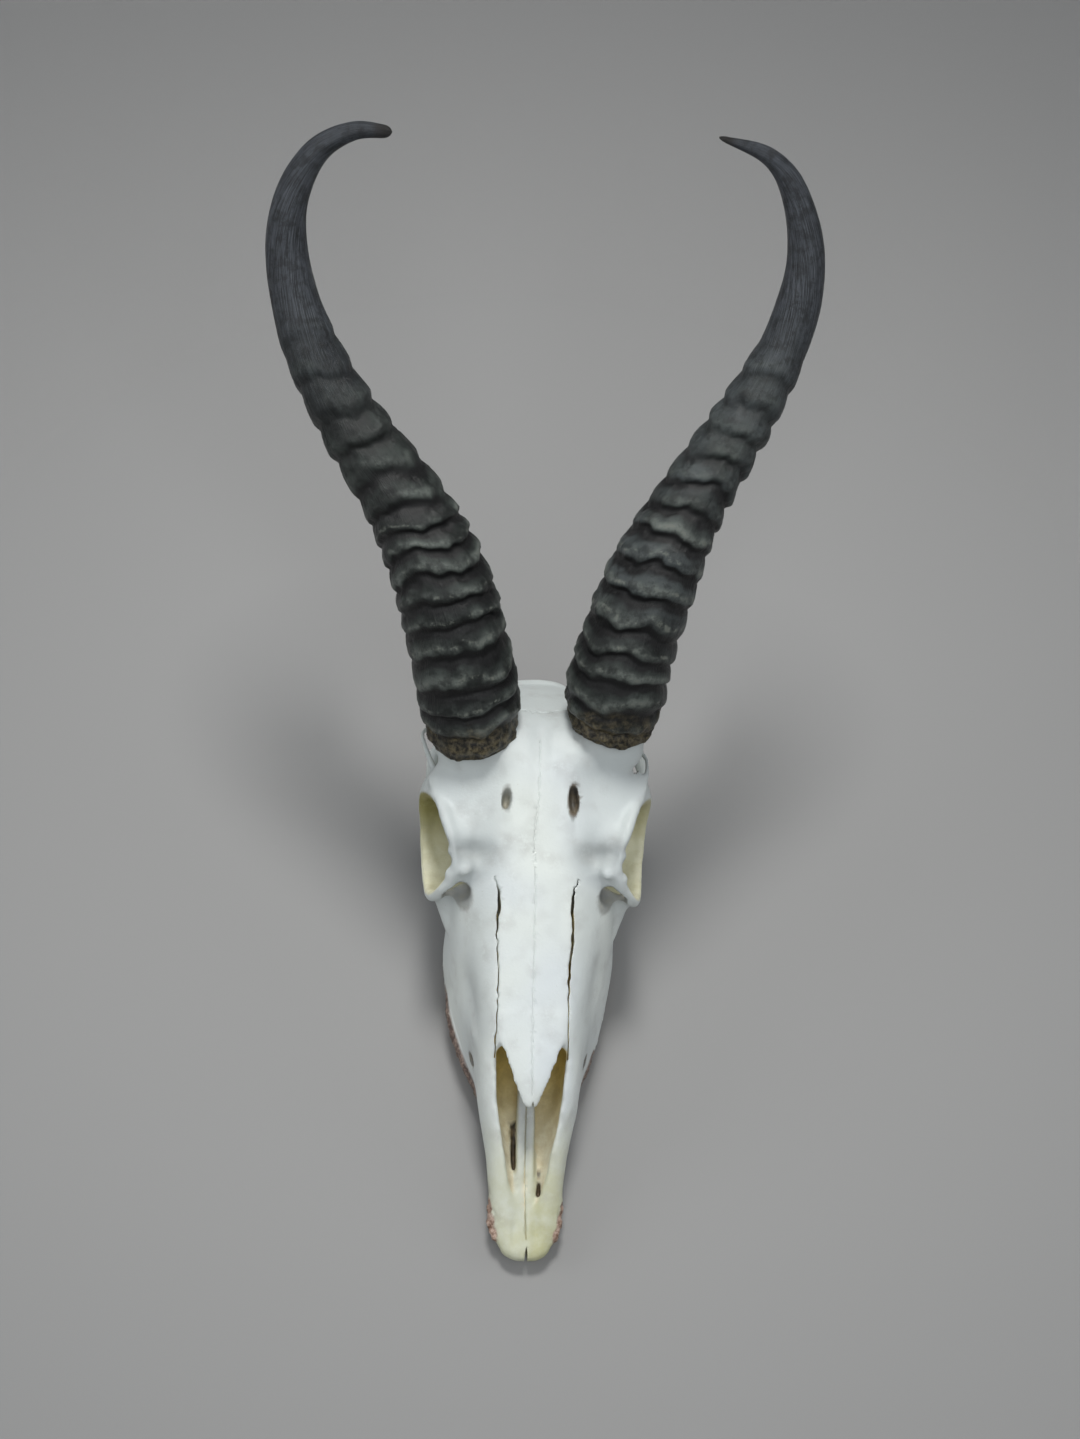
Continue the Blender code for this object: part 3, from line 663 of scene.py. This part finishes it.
def drawClefts():
    cutter = startPiece("clefts")
    course = ((17.6, 138, 78), (15, 129, 74), (15.4, 116, 68), (14.4, 102, 61), (14.4, 90, 55),
              (14.8, 72, 47))
    widths = {-1: (0.25, 1.5, 0.45, 0.55, 0.4, 0.5), 1: (0.3, 1.1, 1.05, 0.9, 0.5, 0.5)}
    for side in (-1, 1):
        line, sizes = [], []
        for i, (x, y, z) in enumerate(smoothRows(course, 6)):
            wander = 0.55 * noise.noise(Vector((side * 9, i * 0.8, 2)))
            line.append((side * (x + wander), y, z))
            width = between(list(enumerate(widths[side])), i / 6)
            uneven = 1 + 0.7 * noise.noise(Vector((side * 4, i * 1.3, 7)))
            sizes.append((skullShape["fissureWidth"] / 2 * width * uneven, 11))
        drawBar(cutter, line, sizes, steps=2, sides=8)
    addBlob((0.5, 0.6, 8), (0.6, 5, 6))  # between the two halves of the muzzle
    addBlob((0.9, 50.4, 47), (0.5, 2.6, 4))  # between the nasal tips
    rodTop = ((0.3, 8, 12.3), (-0.3, 20, 15), (-0.6, 34, 17.9), (-0.6, 50, 22.6), (-0.5, 66, 27))
    drawBar(cutter, rodTop, [(0.36, 1.9)] * len(rodTop), sides=8)
    return endPiece(cutter)


def drawSutures(skull):
    # seams engraved into the surface: each wanders, and lies where a ray from above meets bone
    tree = BVHTree.FromObject(skull, bpy.context.evaluated_depsgraph_get())
    cutter = startPiece("sutures")
    for number, (path, wiggle, width) in enumerate(sutures):
        line = []
        for i, (x, y) in enumerate(smoothRows(path, 14)):
            x += wiggle * noise.noise(Vector((i * 0.9, number * 5, 1)))
            y += wiggle * noise.noise(Vector((i * 0.9, number * 5, 8)))
            hit = tree.ray_cast(toRow((x, y, 200)), Vector((0, 0, -1)))[0]
            line.append((x, y, toModel([hit])[0][2] + 0.28))
        drawBar(cutter, line, [(width, 0.5)] * len(line), steps=1, sides=6)
    return endPiece(cutter)


def buildSkull():
    skull = drawMasses()
    fuse(skull, skullShape["coarse"])
    carve(skull, drawHollows(), skullShape["coarse"])
    join(skull, drawThinBones())
    fuse(skull, skullShape["coarse"])
    applyModifier(skull, "SMOOTH", factor=0.5, iterations=5)
    carve(skull, drawSmallOpenings(), skullShape["fine"])
    fuse(skull, skullShape["fine"])
    applyModifier(skull, "SMOOTH", factor=0.5, iterations=2)
    points, normals = readPoints(skull), readNormals(skull)
    swell = 0.25 * roughness(points, 14, 2) + 0.06 * roughness(points, 2.4, 3)
    low = ease(19, 11, points[:, 2])
    toothEdge = low * ease(66, 76, points[:, 1]) * ease(150, 142, points[:, 1])
    gumEdge = low * ease(6, 9, points[:, 1]) * ease(28, 24, points[:, 1])
    gumEdge *= ease(11, 12.5, abs(points[:, 0]))
    swell += (0.6 * toothEdge + 0.8 * gumEdge) * roughness(points, 1.9, 2)
    for centre, reach, height in relief:
        away = (((points - centre) / reach) ** 2).sum(axis=1)
        swell += height * np.exp(-away)
    writePoints(skull, points + normals * swell[:, None])
    applyModifier(skull, "TRIANGULATE")
    ratio = skullShape["triangles"] / len(skull.data.polygons)
    if ratio < 1:
        applyModifier(skull, "DECIMATE", ratio=ratio, use_collapse_triangulate=True)
    carve(skull, drawClefts())
    carve(skull, drawSutures(skull), skullShape["seamSkin"])
    return skull


def facing(points, normals, centre, reach):
    # 1 on the walls of a hollow of the given centre and reach, 0 outside it
    away = (points - np.array(centre)) / np.array(reach)
    distance = np.linalg.norm(away, axis=1) + 1e-6
    inward = -(normals * away).sum(axis=1) / distance
    return ease(1.25, 1.02, distance) * ease(-0.1, 0.3, inward)


def markSkull(skull):
    points, normals = readPoints(skull), readNormals(skull)
    x, y, z = points.T
    side = np.sign(x)
    # how enclosed each point is, for the cavity dirt and painted occlusion shade below
    hollowDirtAndShade = shelter(skull)
    patches = roughness(points, 9, 3)
    height = 0.866 * y + 0.5 * z  # how far up the face a point is seen
    roof = np.interp(y, *zip(*[(station, half[0][1]) for station, half in faceSections]))

    eyeY, eyeZ = skullShape["orbitCentre"]
    fromAxis = np.hypot(y - eyeY, z - eyeZ) + 1e-6
    toAxis = -(normals[:, 1] * (y - eyeY) + normals[:, 2] * (z - eyeZ)) / fromAxis
    bowl = np.maximum(ease(0, 0.4, toAxis), ease(18.5, 16.5, fromAxis))
    outside = ease(0.1, 0.4, normals[:, 2]) * ease(72, 78, z)
    socket = bowl * ease(23.5, 21.5, fromAxis) * ease(12, 14, abs(x)) * (1 - outside)

    middle = 0.45 * roof + 7
    across = np.hypot(x, z - middle) + 1e-6
    toMiddle = -(normals[:, 0] * x + normals[:, 2] * (z - middle)) / across
    rods = ease(5, 4.5, abs(x - skullShape["rodsMiddle"]))
    rods *= ease(12.2, 13.2, z - 0.12 * y)
    rods *= ease(72, 66, y)
    nose = ease(-0.05, 0.3, toMiddle) * ease(16.5, 15.5, abs(x)) * ease(17, 23, y)
    nose *= ease(134, 126, y) * ease(0.5, 1.8, roof - z) * ease(8.5, 9.5, z) * (1 - rods)

    # painted shade inside the small openings, the slots in the floor of the nose and the dips
    # across the brow
    pits = np.zeros(len(points))
    for centre, _, _, wallShade, reach in smallOpenings:
        pits = np.maximum(pits, wallShade * facing(points, normals, centre, reach))
    for slot in floorSlots:
        (startX, startY, startZ), (endX, endY, endZ) = slot[0], slot[-1]
        t = np.clip((y - startY) / (endY - startY), 0, 1)
        wide = abs(x - startX - t * (endX - startX))
        deep = startZ + t * (endZ - startZ) - z
        pits = np.maximum(pits, ease(1.5, 0.9, wide) * ease(0, 1, deep) * ease(4.5, 3.5, deep)
                          * ease(startY - 2.5, startY - 1.5, y) * ease(endY + 2.5, endY + 1.5, y))

    muzzle = ease(66, 20, y) * (0.64 + 0.24 * ease(-1, 3, x) + 0.12 * ease(18, 8, y))
    crust = np.zeros(len(points))
    for course, half in socketCrusts:
        dense = smoothRows(course, 8)
        gap = np.min(np.linalg.norm(points[:, None] - dense[None], axis=2), axis=1)
        crust = np.maximum(crust, ease(half + 3.2, half + 1.6, gap))
    toothEdge = ease(15, 10.5, z) * ease(66, 78, y) * ease(152, 142, y)
    edge = ease(10, 13, abs(x)) * ease(22, 28, y) * ease(66, 50, y) * ease(18, 13, z) * (side < 0)
    gum = np.zeros(len(points))
    for centre, radii in gumRemnants:
        away = np.linalg.norm((points - centre) / (np.array(radii) + 0.9), axis=1)
        gum = np.maximum(gum, ease(1.25, 0.95, away))
    # painted shading: how far each surface turns away from the light above the front
    facingLamps = normals @ np.array((0, -0.4, 0.917))
    # painted shade: darker grey on the sides of the forehead, on the strips beside the nasal bones,
    # between the horns and along the dips across the brow
    brow = 0.7 * ease(8, 20, abs(x)) * ease(126, 142, y) * ease(206, 190, y)
    dipShade = np.exp(-(((abs(x) - 26) / 10) ** 2) - ((y - 145) / 4.5) ** 2) * ease(70, 76, z)
    pollShade = 0.75 * ease(176, 192, y) * ease(26, 16, abs(x))
    shoulderShade = 0.45 * ease(13, 17, abs(x)) * ease(30, 24, abs(x))
    shoulderShade *= ease(72, 84, y) * ease(142, 130, y)
    brow = np.maximum(brow, shoulderShade)
    keep(skull, "hollowDirtAndShade", hollowDirtAndShade)
    keep(skull, "muzzle", muzzle)
    keep(skull, "nose", nose)
    keep(skull, "noseDepth", ease(46, 88, height))
    keep(skull, "socket", socket)
    # painted light and shade in the sockets: darker towards the back, paler towards the front and
    # on the right side
    keep(skull, "socketLitShare", np.clip(ease(190, 160, height) + 0.45 * (side > 0), 0, 1))
    keep(skull, "pits", np.maximum(pits, 0.16 * dipShade))
    keep(skull, "crust", crust)
    keep(skull, "flank", ease(0.93, 0.55, facingLamps))
    keep(skull, "brow", np.clip(np.maximum(brow, pollShade) + 0.8 * dipShade, 0, 1))
    keep(skull, "gum", gum)
    keep(skull, "grime", np.clip(0.8 * toothEdge + 0.5 * edge + 0.2 * patches, 0, 1))


boneLook = {
    "cool": (0.71, 0.75, 0.715),
    "blue": (0.66, 0.705, 0.725),
    "flank": (0.71, 0.75, 0.72),
    "brow": (0.5, 0.54, 0.54),
    "muzzle": (0.47, 0.465, 0.27),
    "hollowDirtAndShade": (0.36, 0.32, 0.2),
    "socket": ((0.26, 0.235, 0.06), (0.72, 0.71, 0.53), (0.5, 0.46, 0.24)),  # back in painted shade, front painted lit, stains
    "nose": ((0.72, 0.69, 0.54), (0.78, 0.6, 0.18), (0.42, 0.31, 0.12)),  # front, deep in, stains
    "pit": ((0.015, 0.01, 0.006), (0.11, 0.075, 0.035)),  # painted shade in holes, pits and slots: darkest and palest, as in the next
    "gum": ((0.16, 0.085, 0.05), (0.5, 0.37, 0.3)),
    "crust": ((0.07, 0.04, 0.03), (0.3, 0.22, 0.18)),
    "grime": (0.11, 0.07, 0.05),
    "specks": (0.45, 0.43, 0.36),
}


def boneMaterial():
    w = Wiring("bone")
    cloudy = w.span(w.noise(28, 1, 0.4), 0.3, 0.75)
    colour = w.blend(cloudy, boneLook["cool"], boneLook["blue"])
    mottle = w.noise(160, 5, 0.65)
    # painted shading: surfaces that turn away from the lamps above the front get a flat tint
    flank = w.maths("MULTIPLY", w.attribute("flank"), w.span(mottle, 0.25, 0.7, 0.4, 0.7))
    colour = w.blend(flank, colour, boneLook["flank"])
    # painted shade on the forehead's sides, the nasal strips, between the horns and in the brow
    # dips
    colour = w.blend(w.attribute("brow"), colour, boneLook["brow"])
    muzzle = w.maths("MULTIPLY", w.attribute("muzzle"), w.span(mottle, 0.2, 0.7, 0.65, 1))
    colour = w.blend(muzzle, colour, boneLook["muzzle"])
    hollowDirtAndShade = w.attribute("hollowDirtAndShade")
    # brown darkening by how enclosed a point is: part cavity dirt, part painted occlusion shade
    colour = w.blend(w.span(hollowDirtAndShade, 0.3, 0.75, 0, 0.6), colour, boneLook["hollowDirtAndShade"])
    back, front, stains = boneLook["socket"]
    # olive socket walls, with painted shade at the back and painted light at the front and on the
    # right
    socketColour = w.blend(w.attribute("socketLitShare"), back, front)
    socketColour = w.blend(w.span(mottle, 0.4, 0.65, 0, 0.35), socketColour, stains)
    colour = w.blend(w.attribute("socket"), colour, socketColour)
    front, deep, stains = boneLook["nose"]
    noseColour = w.blend(w.attribute("noseDepth"), front, deep)
    noseColour = w.blend(w.span(mottle, 0.35, 0.65, 0, 0.4), noseColour, stains)
    colour = w.blend(w.attribute("nose"), colour, noseColour)
    # painted shade inside holes, pits and slots
    pitColour = w.blend(w.span(mottle, 0.35, 0.65), *boneLook["pit"])
    colour = w.blend(w.attribute("pits"), colour, pitColour)
    gumColour = w.blend(w.span(w.noise(500, 5, 0.7), 0.35, 0.65), *boneLook["gum"])
    colour = w.blend(w.attribute("gum"), colour, gumColour)
    grime = w.maths("MULTIPLY", w.attribute("grime"), w.span(w.noise(300, 6, 0.7), 0.32, 0.52))
    colour = w.blend(grime, colour, boneLook["grime"])
    crustColour = w.blend(w.span(w.noise(450, 5, 0.7), 0.4, 0.65), *boneLook["crust"])
    colour = w.blend(w.attribute("crust"), colour, crustColour)
    specks = w.span(w.noise(620, 2), 0.7, 0.78, 0, 0.3)
    colour = w.blend(specks, colour, boneLook["specks"])
    w.bump(w.noise(900, 5, 0.6), 0.00025, 0.5)
    return w.finish(colour, w.span(mottle, 0.3, 0.7, 0.48, 0.62))


skull = buildSkull()
print("skull shaped:", len(skull.data.polygons), "faces")
markSkull(skull)
skull.data.materials.append(boneMaterial())
bpy.ops.object.select_all(action="DESELECT")
skull.select_set(True)
bpy.context.view_layer.objects.active = skull
bpy.ops.object.shade_smooth()
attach(skull, "root")
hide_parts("skull")
print("skull finished")


hornShape = {
    "sides": 84,
    "stations": 400,
    "ringDepth": 2.1,
    "crestAt": 0.36,  # how far up a ring its crest lies
    "raggedDepth": 1.1,  # of the ring ends that face the other horn
    "pitDepth": 0.35,
    "fibreDepth": 0.17,
    "lift": 2.4,  # half of how far the front of a ring stands over its sides
    "sunk": 3,  # how far the ragged lower edge reaches down over the bone
    "edgeWander": 1.4,
    "edgeRise": {"left": 0, "right": 1.8},
    "paleBands": {"left": 0, "right": 0.7},
}

hornPaths = {
    "left": ((-26.8, 192, 101.5), (-34, 210.5, 132.5), (-44.5, 232.5, 160), (-59, 253, 178.5),
             (-81.5, 278, 197.5), (-98.5, 302, 215.5), (-107.5, 325.5, 234), (-107.5, 342, 252),
             (-98.5, 355, 266.5), (-84, 360.5, 274.5), (-68.5, 360.5, 275)),
    "right": ((28, 195.5, 106), (32.5, 212, 134.5), (43.5, 236, 163.5), (56.5, 257.5, 182.5),
              (78.5, 288, 204.5), (92, 311.5, 222.5), (96.5, 332, 241), (91, 349, 259.5),
              (79.5, 358.5, 271.5), (59, 362.5, 277.5)),
}

# Half width of each horn at shares of its length.
hornRadii = {
    "left": ((0, 17.9), (0.035, 19.6), (0.07, 20.2), (0.22, 19.5), (0.285, 18.4), (0.345, 16.6),
             (0.42, 14.6), (0.485, 13.2), (0.54, 12.1), (0.605, 11.3), (0.66, 10), (0.76, 8.4),
             (0.84, 6.6), (0.91, 4.7), (0.965, 3.3), (1, 2.4)),
    "right": ((0, 17.4), (0.035, 19.1), (0.07, 20), (0.175, 18.8), (0.265, 17.9), (0.31, 16.2),
              (0.36, 14.5), (0.41, 13.4), (0.515, 11.9), (0.56, 10.9), (0.61, 10.1), (0.7, 9.1),
              (0.8, 7.1), (0.875, 5.2), (0.95, 2.8), (1, 0.9)),
}

# Shares of the length at which the grooves between the rings lie, from the base up.
hornGrooves = {
    "left": (0.0, 0.037, 0.073, 0.109, 0.149, 0.19, 0.223, 0.256, 0.29, 0.32, 0.354, 0.402, 0.455,
             0.504, 0.557, 0.613, 0.675),
    "right": (0.0, 0.019, 0.059, 0.104, 0.142, 0.177, 0.226, 0.267, 0.305, 0.343, 0.389, 0.433,
              0.481, 0.522, 0.57, 0.625),
}


def ringAt(grooves, share):
    # number of the ring at a share of the length, and how far up that ring it lies
    index = int(np.clip(np.searchsorted(grooves, share, side="right") - 1, 0, len(grooves) - 2))
    place = (share - grooves[index]) / (grooves[index + 1] - grooves[index])
    return index, min(1, max(0, place))


def buildHorn(sideName, side):
    path = smoothRows(hornPaths[sideName], 12)
    lengths = np.concatenate([[0], np.cumsum(np.linalg.norm(np.diff(path, axis=0), axis=1))])
    along = np.gradient(path, axis=0)
    total = lengths[-1]
    grooves = np.array(hornGrooves[sideName])
    seed = Vector((7 + 20 * side, 3, 1))

    def at(distance, rows):
        return Vector([np.interp(distance, lengths, rows[:, i]) for i in range(3)])

    sides, crestAt = hornShape["sides"], hornShape["crestAt"]
    shares = np.linspace(-hornShape["sunk"] / total, 1, hornShape["stations"])
    angles = 2 * math.pi * np.arange(sides) / sides
    rings, marks = [], []
    for share in shares:
        mean = between(hornRadii[sideName], share)
        # the last stretch closes in a rounded tip
        mean *= math.sqrt(max(0.02, 1 - max(0, (share - 0.988) / 0.012) ** 2))
        upper = 1 - ease(0.45, 0.7, share)
        lift = hornShape["lift"] * min(1, max(0, share) / 0.1) * min((1 - share) / 0.4, 1)
        ring = []
        for angle in angles:
            droop = 0.012 * math.cos(angle) * (1 - ease(0.1, 0.3, share))
            spot = Vector((math.cos(angle), math.sin(angle), share * 9)) + seed
            drift = 0.013 * noise.noise(spot * 1.4) + 0.006 * noise.noise(spot * 4)
            index, place = ringAt(grooves, share + droop + drift * (0.4 + 0.6 * upper))
            turn = Vector((math.cos(angle), math.sin(angle), index * 3.7)) + seed
            kept = ease(-0.8, -0.5, noise.noise(turn * 1.2))  # some grooves run out
            keptAbove = ease(-0.8, -0.5, noise.noise((turn + Vector((0, 0, 3.7))) * 1.2))
            rise = ease(0.0, 0.34, place)
            fall = 1 - 0.95 * max(0, (place - crestAt) / (1 - crestAt)) ** 1.8
            lost = (1 - ease(0.3, 0.6, place)) * (1 - kept)
            lost += ease(0.4, 0.9, place) * (1 - keptAbove)
            height = rise * fall * (1 - lost) + 0.5 * lost
            # where a pale line runs along each ring: part worn keratin, part painted highlight
            crest = kept * math.exp(-(((place - 0.42) / 0.2) ** 2))
            # painted shadow in the groove under each ring's crest
            grooveShadow = max(kept * (1 - ease(0.1, 0.3, place)), keptAbove * ease(0.6, 1, place))
            strength = (0.2 + 0.8 * upper) * (0.85 + 0.5 * noise.noise(spot * 1.1 + seed))
            inner = max(0, -side * math.sin(angle)) ** 3  # the side that faces the other horn
            ragged = ease(0.01, 0.05, share) * (1 - ease(0.24, 0.4, share)) * inner
            swell = hornShape["ringDepth"] * strength * (height - 0.6)
            ragged *= hornShape["raggedDepth"] * height
            swell += ragged * (0.5 + 0.9 * noise.noise(spot * 6))
            pits = noise.fractal(spot * 8, 1, 2, 3)
            swell -= hornShape["pitDepth"] * upper * ease(0.1, 0.6, pits) * ease(0.25, 0.5, place)
            fibres = noise.noise(Vector((math.cos(angle) * 13, math.sin(angle) * 13, share * 7)))
            swell += hornShape["fibreDepth"] * fibres
            crust = float(1 - ease(0.012, 0.055, share + 0.025 * noise.noise(spot * 3)))
            swell += crust * (1.0 * noise.fractal(spot * 5, 1, 2, 4) - 0.4)
            swell += ease(0.985, 1, share) * 0.8 * noise.noise(spot * 3)
            edge = hornShape["edgeWander"] * noise.noise(spot * 2.3)
            edge = crust * (edge + hornShape["edgeRise"][sideName])
            distance = share * total + lift * math.cos(2 * angle) + edge
            direction = at(max(distance, 0), along).normalized()
            front = (Vector((0, -1, 0)) + direction * direction.y).normalized()
            across = direction.cross(front)
            offset = front * 1.03 * math.cos(angle) + across * math.sin(angle)
            centre = at(max(distance, 0), path) + direction * min(distance, 0)
            ring.append(centre + offset * max(mean + swell * min(1, mean / 6), 0.3))
            soft = 1 - 0.65 * ease(0.3, 0.5, share)
            fade = 1 - ease(0.58, 0.72, share)
            pale = hornShape["paleBands"][sideName] * ease(0.12, 0.25, share)
            marks.append((share, crest * soft * fade, grooveShadow * soft * fade, crust, pale,
                          math.cos(angle), math.sin(angle), share * total / 18))
        rings.append(ring)
    horn = startPiece(f"horn_sheath_{sideName}")
    drawOut(horn, rings)
    endPiece(horn)
    drawn = [point for ring in rings for point in ring]
    tree = KDTree(len(drawn))
    for i, point in enumerate(drawn):
        tree.insert(point, i)
    tree.balance()
    found = np.array(marks)[[tree.find(point)[1] for point in readPoints(horn)]]
    for column, name in enumerate(("along", "crest", "grooveShadow", "crust", "pale")):
        keep(horn, name, found[:, column])
    keep(horn, "barrel", found[:, 5:])
    return horn


hornLook = {
    "rings": ((0.007, 0.009, 0.008), (0.04, 0.049, 0.044)),  # darkest and palest, as in the next
    "upper": ((0.006, 0.007, 0.009), (0.078, 0.088, 0.104)),
    "crust": ((0.006, 0.005, 0.003), (0.14, 0.115, 0.065)),
    "bands": (0.062, 0.073, 0.075),
    "fibres": (0.12, 0.125, 0.115),
    "crestWearAndHighlight": (0.12, 0.135, 0.122),
    "grain": (0.003, 0.0035, 0.0035),
    "crestGlintsAndWear": (0.14, 0.15, 0.13),
    # grooves: painted shadow under each ring's crest
    "grooves": (0.002, 0.002, 0.0022),
    "tip": (0.016, 0.015, 0.014),
    "gloss": 0.38,
}


def hornMaterial():
    w = Wiring("horn")
    along, crest, grooveShadow = w.attribute("along"), w.attribute("crest"), w.attribute("grooveShadow")
    barrel = w.attribute("barrel", vector=True)
    stretch = w.nodes.new("ShaderNodeMapping")
    stretch.inputs["Scale"].default_value = (9, 9, 0.5)
    w.links.new(barrel, stretch.inputs["Vector"])
    fibres = w.noise(3.2, 5, 0.7, at=stretch.outputs["Vector"])
    patches = w.noise(60, 4, 0.6)
    colour = w.blend(w.span(patches, 0.35, 0.7), *hornLook["rings"])
    bands = w.maths("MULTIPLY", w.attribute("pale"), w.span(w.noise(38, 2, 0.5), 0.35, 0.6))
    colour = w.blend(bands, colour, hornLook["bands"])
    upperColour = w.blend(w.span(fibres, 0.36, 0.68), *hornLook["upper"])
    colour = w.blend(w.span(along, 0.45, 0.72), colour, upperColour)
    colour = w.blend(w.span(fibres, 0.55, 0.8, 0, 0.35), colour, hornLook["fibres"])
    # pale crest line: part worn paler keratin, part painted highlight
    shine = w.maths("MULTIPLY", w.span(crest, 0.1, 1.0), w.span(patches, 0.4, 0.66, 0.06, 1))
    colour = w.blend(shine, colour, hornLook["crestWearAndHighlight"])
    grain = w.noise(230, 6, 0.72)
    colour = w.blend(w.span(grain, 0.46, 0.62, 0, 0.55), colour, hornLook["grain"])
    # thin pale patches on the crest tops: part wear, part painted highlight
    crestGlintsAndWear = w.maths("MULTIPLY", w.span(crest, 0.72, 1.0), w.span(grain, 0.5, 0.36))
    colour = w.blend(crestGlintsAndWear, colour, hornLook["crestGlintsAndWear"])
    # painted shadow: the grooves under the crests go near black
    colour = w.blend(w.span(grooveShadow, 0.05, 0.75), colour, hornLook["grooves"])
    colour = w.blend(w.span(along, 0.965, 0.99), colour, hornLook["tip"])
    flakes = w.span(w.noise(420, 6, 0.7), 0.38, 0.68)
    crustColour = w.blend(flakes, *hornLook["crust"])
    colour = w.blend(w.attribute("crust"), colour, crustColour)
    w.bump(w.maths("ADD", fibres, grain), 0.0005, 0.7)
    w.surface.inputs["Specular IOR Level"].default_value = hornLook["gloss"]
    return w.finish(colour, w.span(patches, 0.3, 0.7, 0.34, 0.56))


keratin = hornMaterial()
for sideName, side in (("left", -1), ("right", 1)):
    horn = buildHorn(sideName, side)
    horn.data.materials.append(keratin)
    bpy.ops.object.shade_smooth()
    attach(horn, "root")
    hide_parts(f"horn_{sideName}")
    print("horn finished:", sideName, len(horn.data.polygons), "faces")


toothRow = {
    "start": 74,
    "gap": 0.3,
    "rootTop": 21,
    "line": ((74, 17), (90, 21.6), (105, 25), (120, 27), (140, 27.6)),  # Y and X of the row
    "points": 48,
    # name, length, width and number of lobes, from front to back
    "teeth": (("p2", 6.8, 7, 1), ("p3", 8.2, 8, 1), ("p4", 8.4, 9.4, 1), ("m1", 11.2, 11, 2),
              ("m2", 13.8, 12, 2), ("m3", 14.4, 11.6, 2)),
}


def crownOutline(lobes, side, turn):
    # a rounded block with ribs on the cheek side and a waist between two lobes
    across, along = math.cos(turn), math.sin(turn)
    square = max(abs(across), abs(along)) ** 0.8
    x, y = across / square, along / square
    cheek = max(0, side * across)
    waist = math.exp(-((y / 0.16) ** 2)) if lobes == 2 else 0
    ribs = 0.07 * cheek * math.cos(math.pi * y * lobes * 1.5)
    return x * (0.93 - 0.2 * waist * (1 - cheek) - 0.08 * waist + ribs), y * 0.99


def chewingRelief(lobes, side, x, y):
    # crescent pits between enamel ridges, depth in millimetres
    depth = 0
    for lobe in range(lobes):
        middle = 0 if lobes == 1 else (lobe - 0.5)
        reach = 1.0 if lobes == 1 else 0.52
        fromLobe = math.hypot((x - side * 0.45) / 0.8, (y - middle) / reach)
        depth += 1.7 * math.exp(-(((fromLobe - 0.62) / 0.13) ** 2)) * ease(0.5, 0.1, side * x)
    return depth + 0.5 * ease(0, 0.9, abs(x)) * abs(x)


def buildTooth(sideName, side, name, length, width, lobes, front):
    middle = front + length / 2
    slope = (between(toothRow["line"], front + length) - between(toothRow["line"], front)) / length
    lean = side * math.atan(slope)
    centreX = side * between(toothRow["line"], middle)
    halfLength, halfWidth = length / 2 - toothRow["gap"] / 2, width / 2
    turns = [2 * math.pi * (i + 0.5) / toothRow["points"] for i in range(toothRow["points"])]
    outline = [crownOutline(lobes, side, turn) for turn in turns]
    levels = [(toothRow["rootTop"], 0.72), (14, 0.86), (9, 0.95), (4, 1), (1.6, 1), (0.5, 0.97)]
    rings = []
    for height, share in levels:
        rings.append([(u * share, v * share, height) for u, v in outline])
    for share in (0.93, 0.86, 0.78, 0.69, 0.6, 0.51, 0.42, 0.33, 0.24, 0.15, 0.06):
        rings.append([(u * share, v * share, chewingRelief(lobes, side, u * share, v * share))
                      for u, v in outline])
    placed = []
    for ring in rings:
        points = []
        for u, v, height in ring:
            x, y = u * halfWidth, v * halfLength
            points.append((centreX + x * math.cos(lean) + y * math.sin(lean),
                           middle + y * math.cos(lean) - x * math.sin(lean), height))
        placed.append(points)
    tooth = startPiece(f"crown_{sideName}_{name}")
    drawOut(tooth, placed)
    endPiece(tooth)
    applyModifier(tooth, "SUBSURF", levels=1, render_levels=1)
    return tooth


toothLook = {
    "clean": (0.6, 0.56, 0.43),
    "stained": (0.3, 0.22, 0.12),
    "chewed": (0.1, 0.065, 0.035),
}


def toothMaterial():
    w = Wiring("tooth")
    height = w.nodes.new("ShaderNodeSeparateXYZ")
    w.links.new(w.place, height.inputs["Vector"])
    low = w.span(height.outputs["Z"], 0.0006, 0.0018)
    stain = w.span(w.noise(260, 5, 0.65), 0.4, 0.66)
    enamel = w.blend(stain, toothLook["clean"], toothLook["stained"])
    chewed = w.maths("MULTIPLY", low, w.span(height.outputs["Z"], 0.004, 0.002))
    colour = w.blend(chewed, enamel, toothLook["chewed"])
    return w.finish(colour, w.span(stain, 0, 1, 0.28, 0.5))


enamel = toothMaterial()
for sideName, side in (("left", -1), ("right", 1)):
    front = toothRow["start"]
    for name, length, width, lobes in toothRow["teeth"]:
        tooth = buildTooth(sideName, side, name, length, width, lobes, front)
        tooth.data.materials.append(enamel)
        bpy.ops.object.shade_smooth()
        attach(tooth, "root")
        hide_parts(f"tooth_{sideName}_{name}")
        front += length
print("teeth finished")
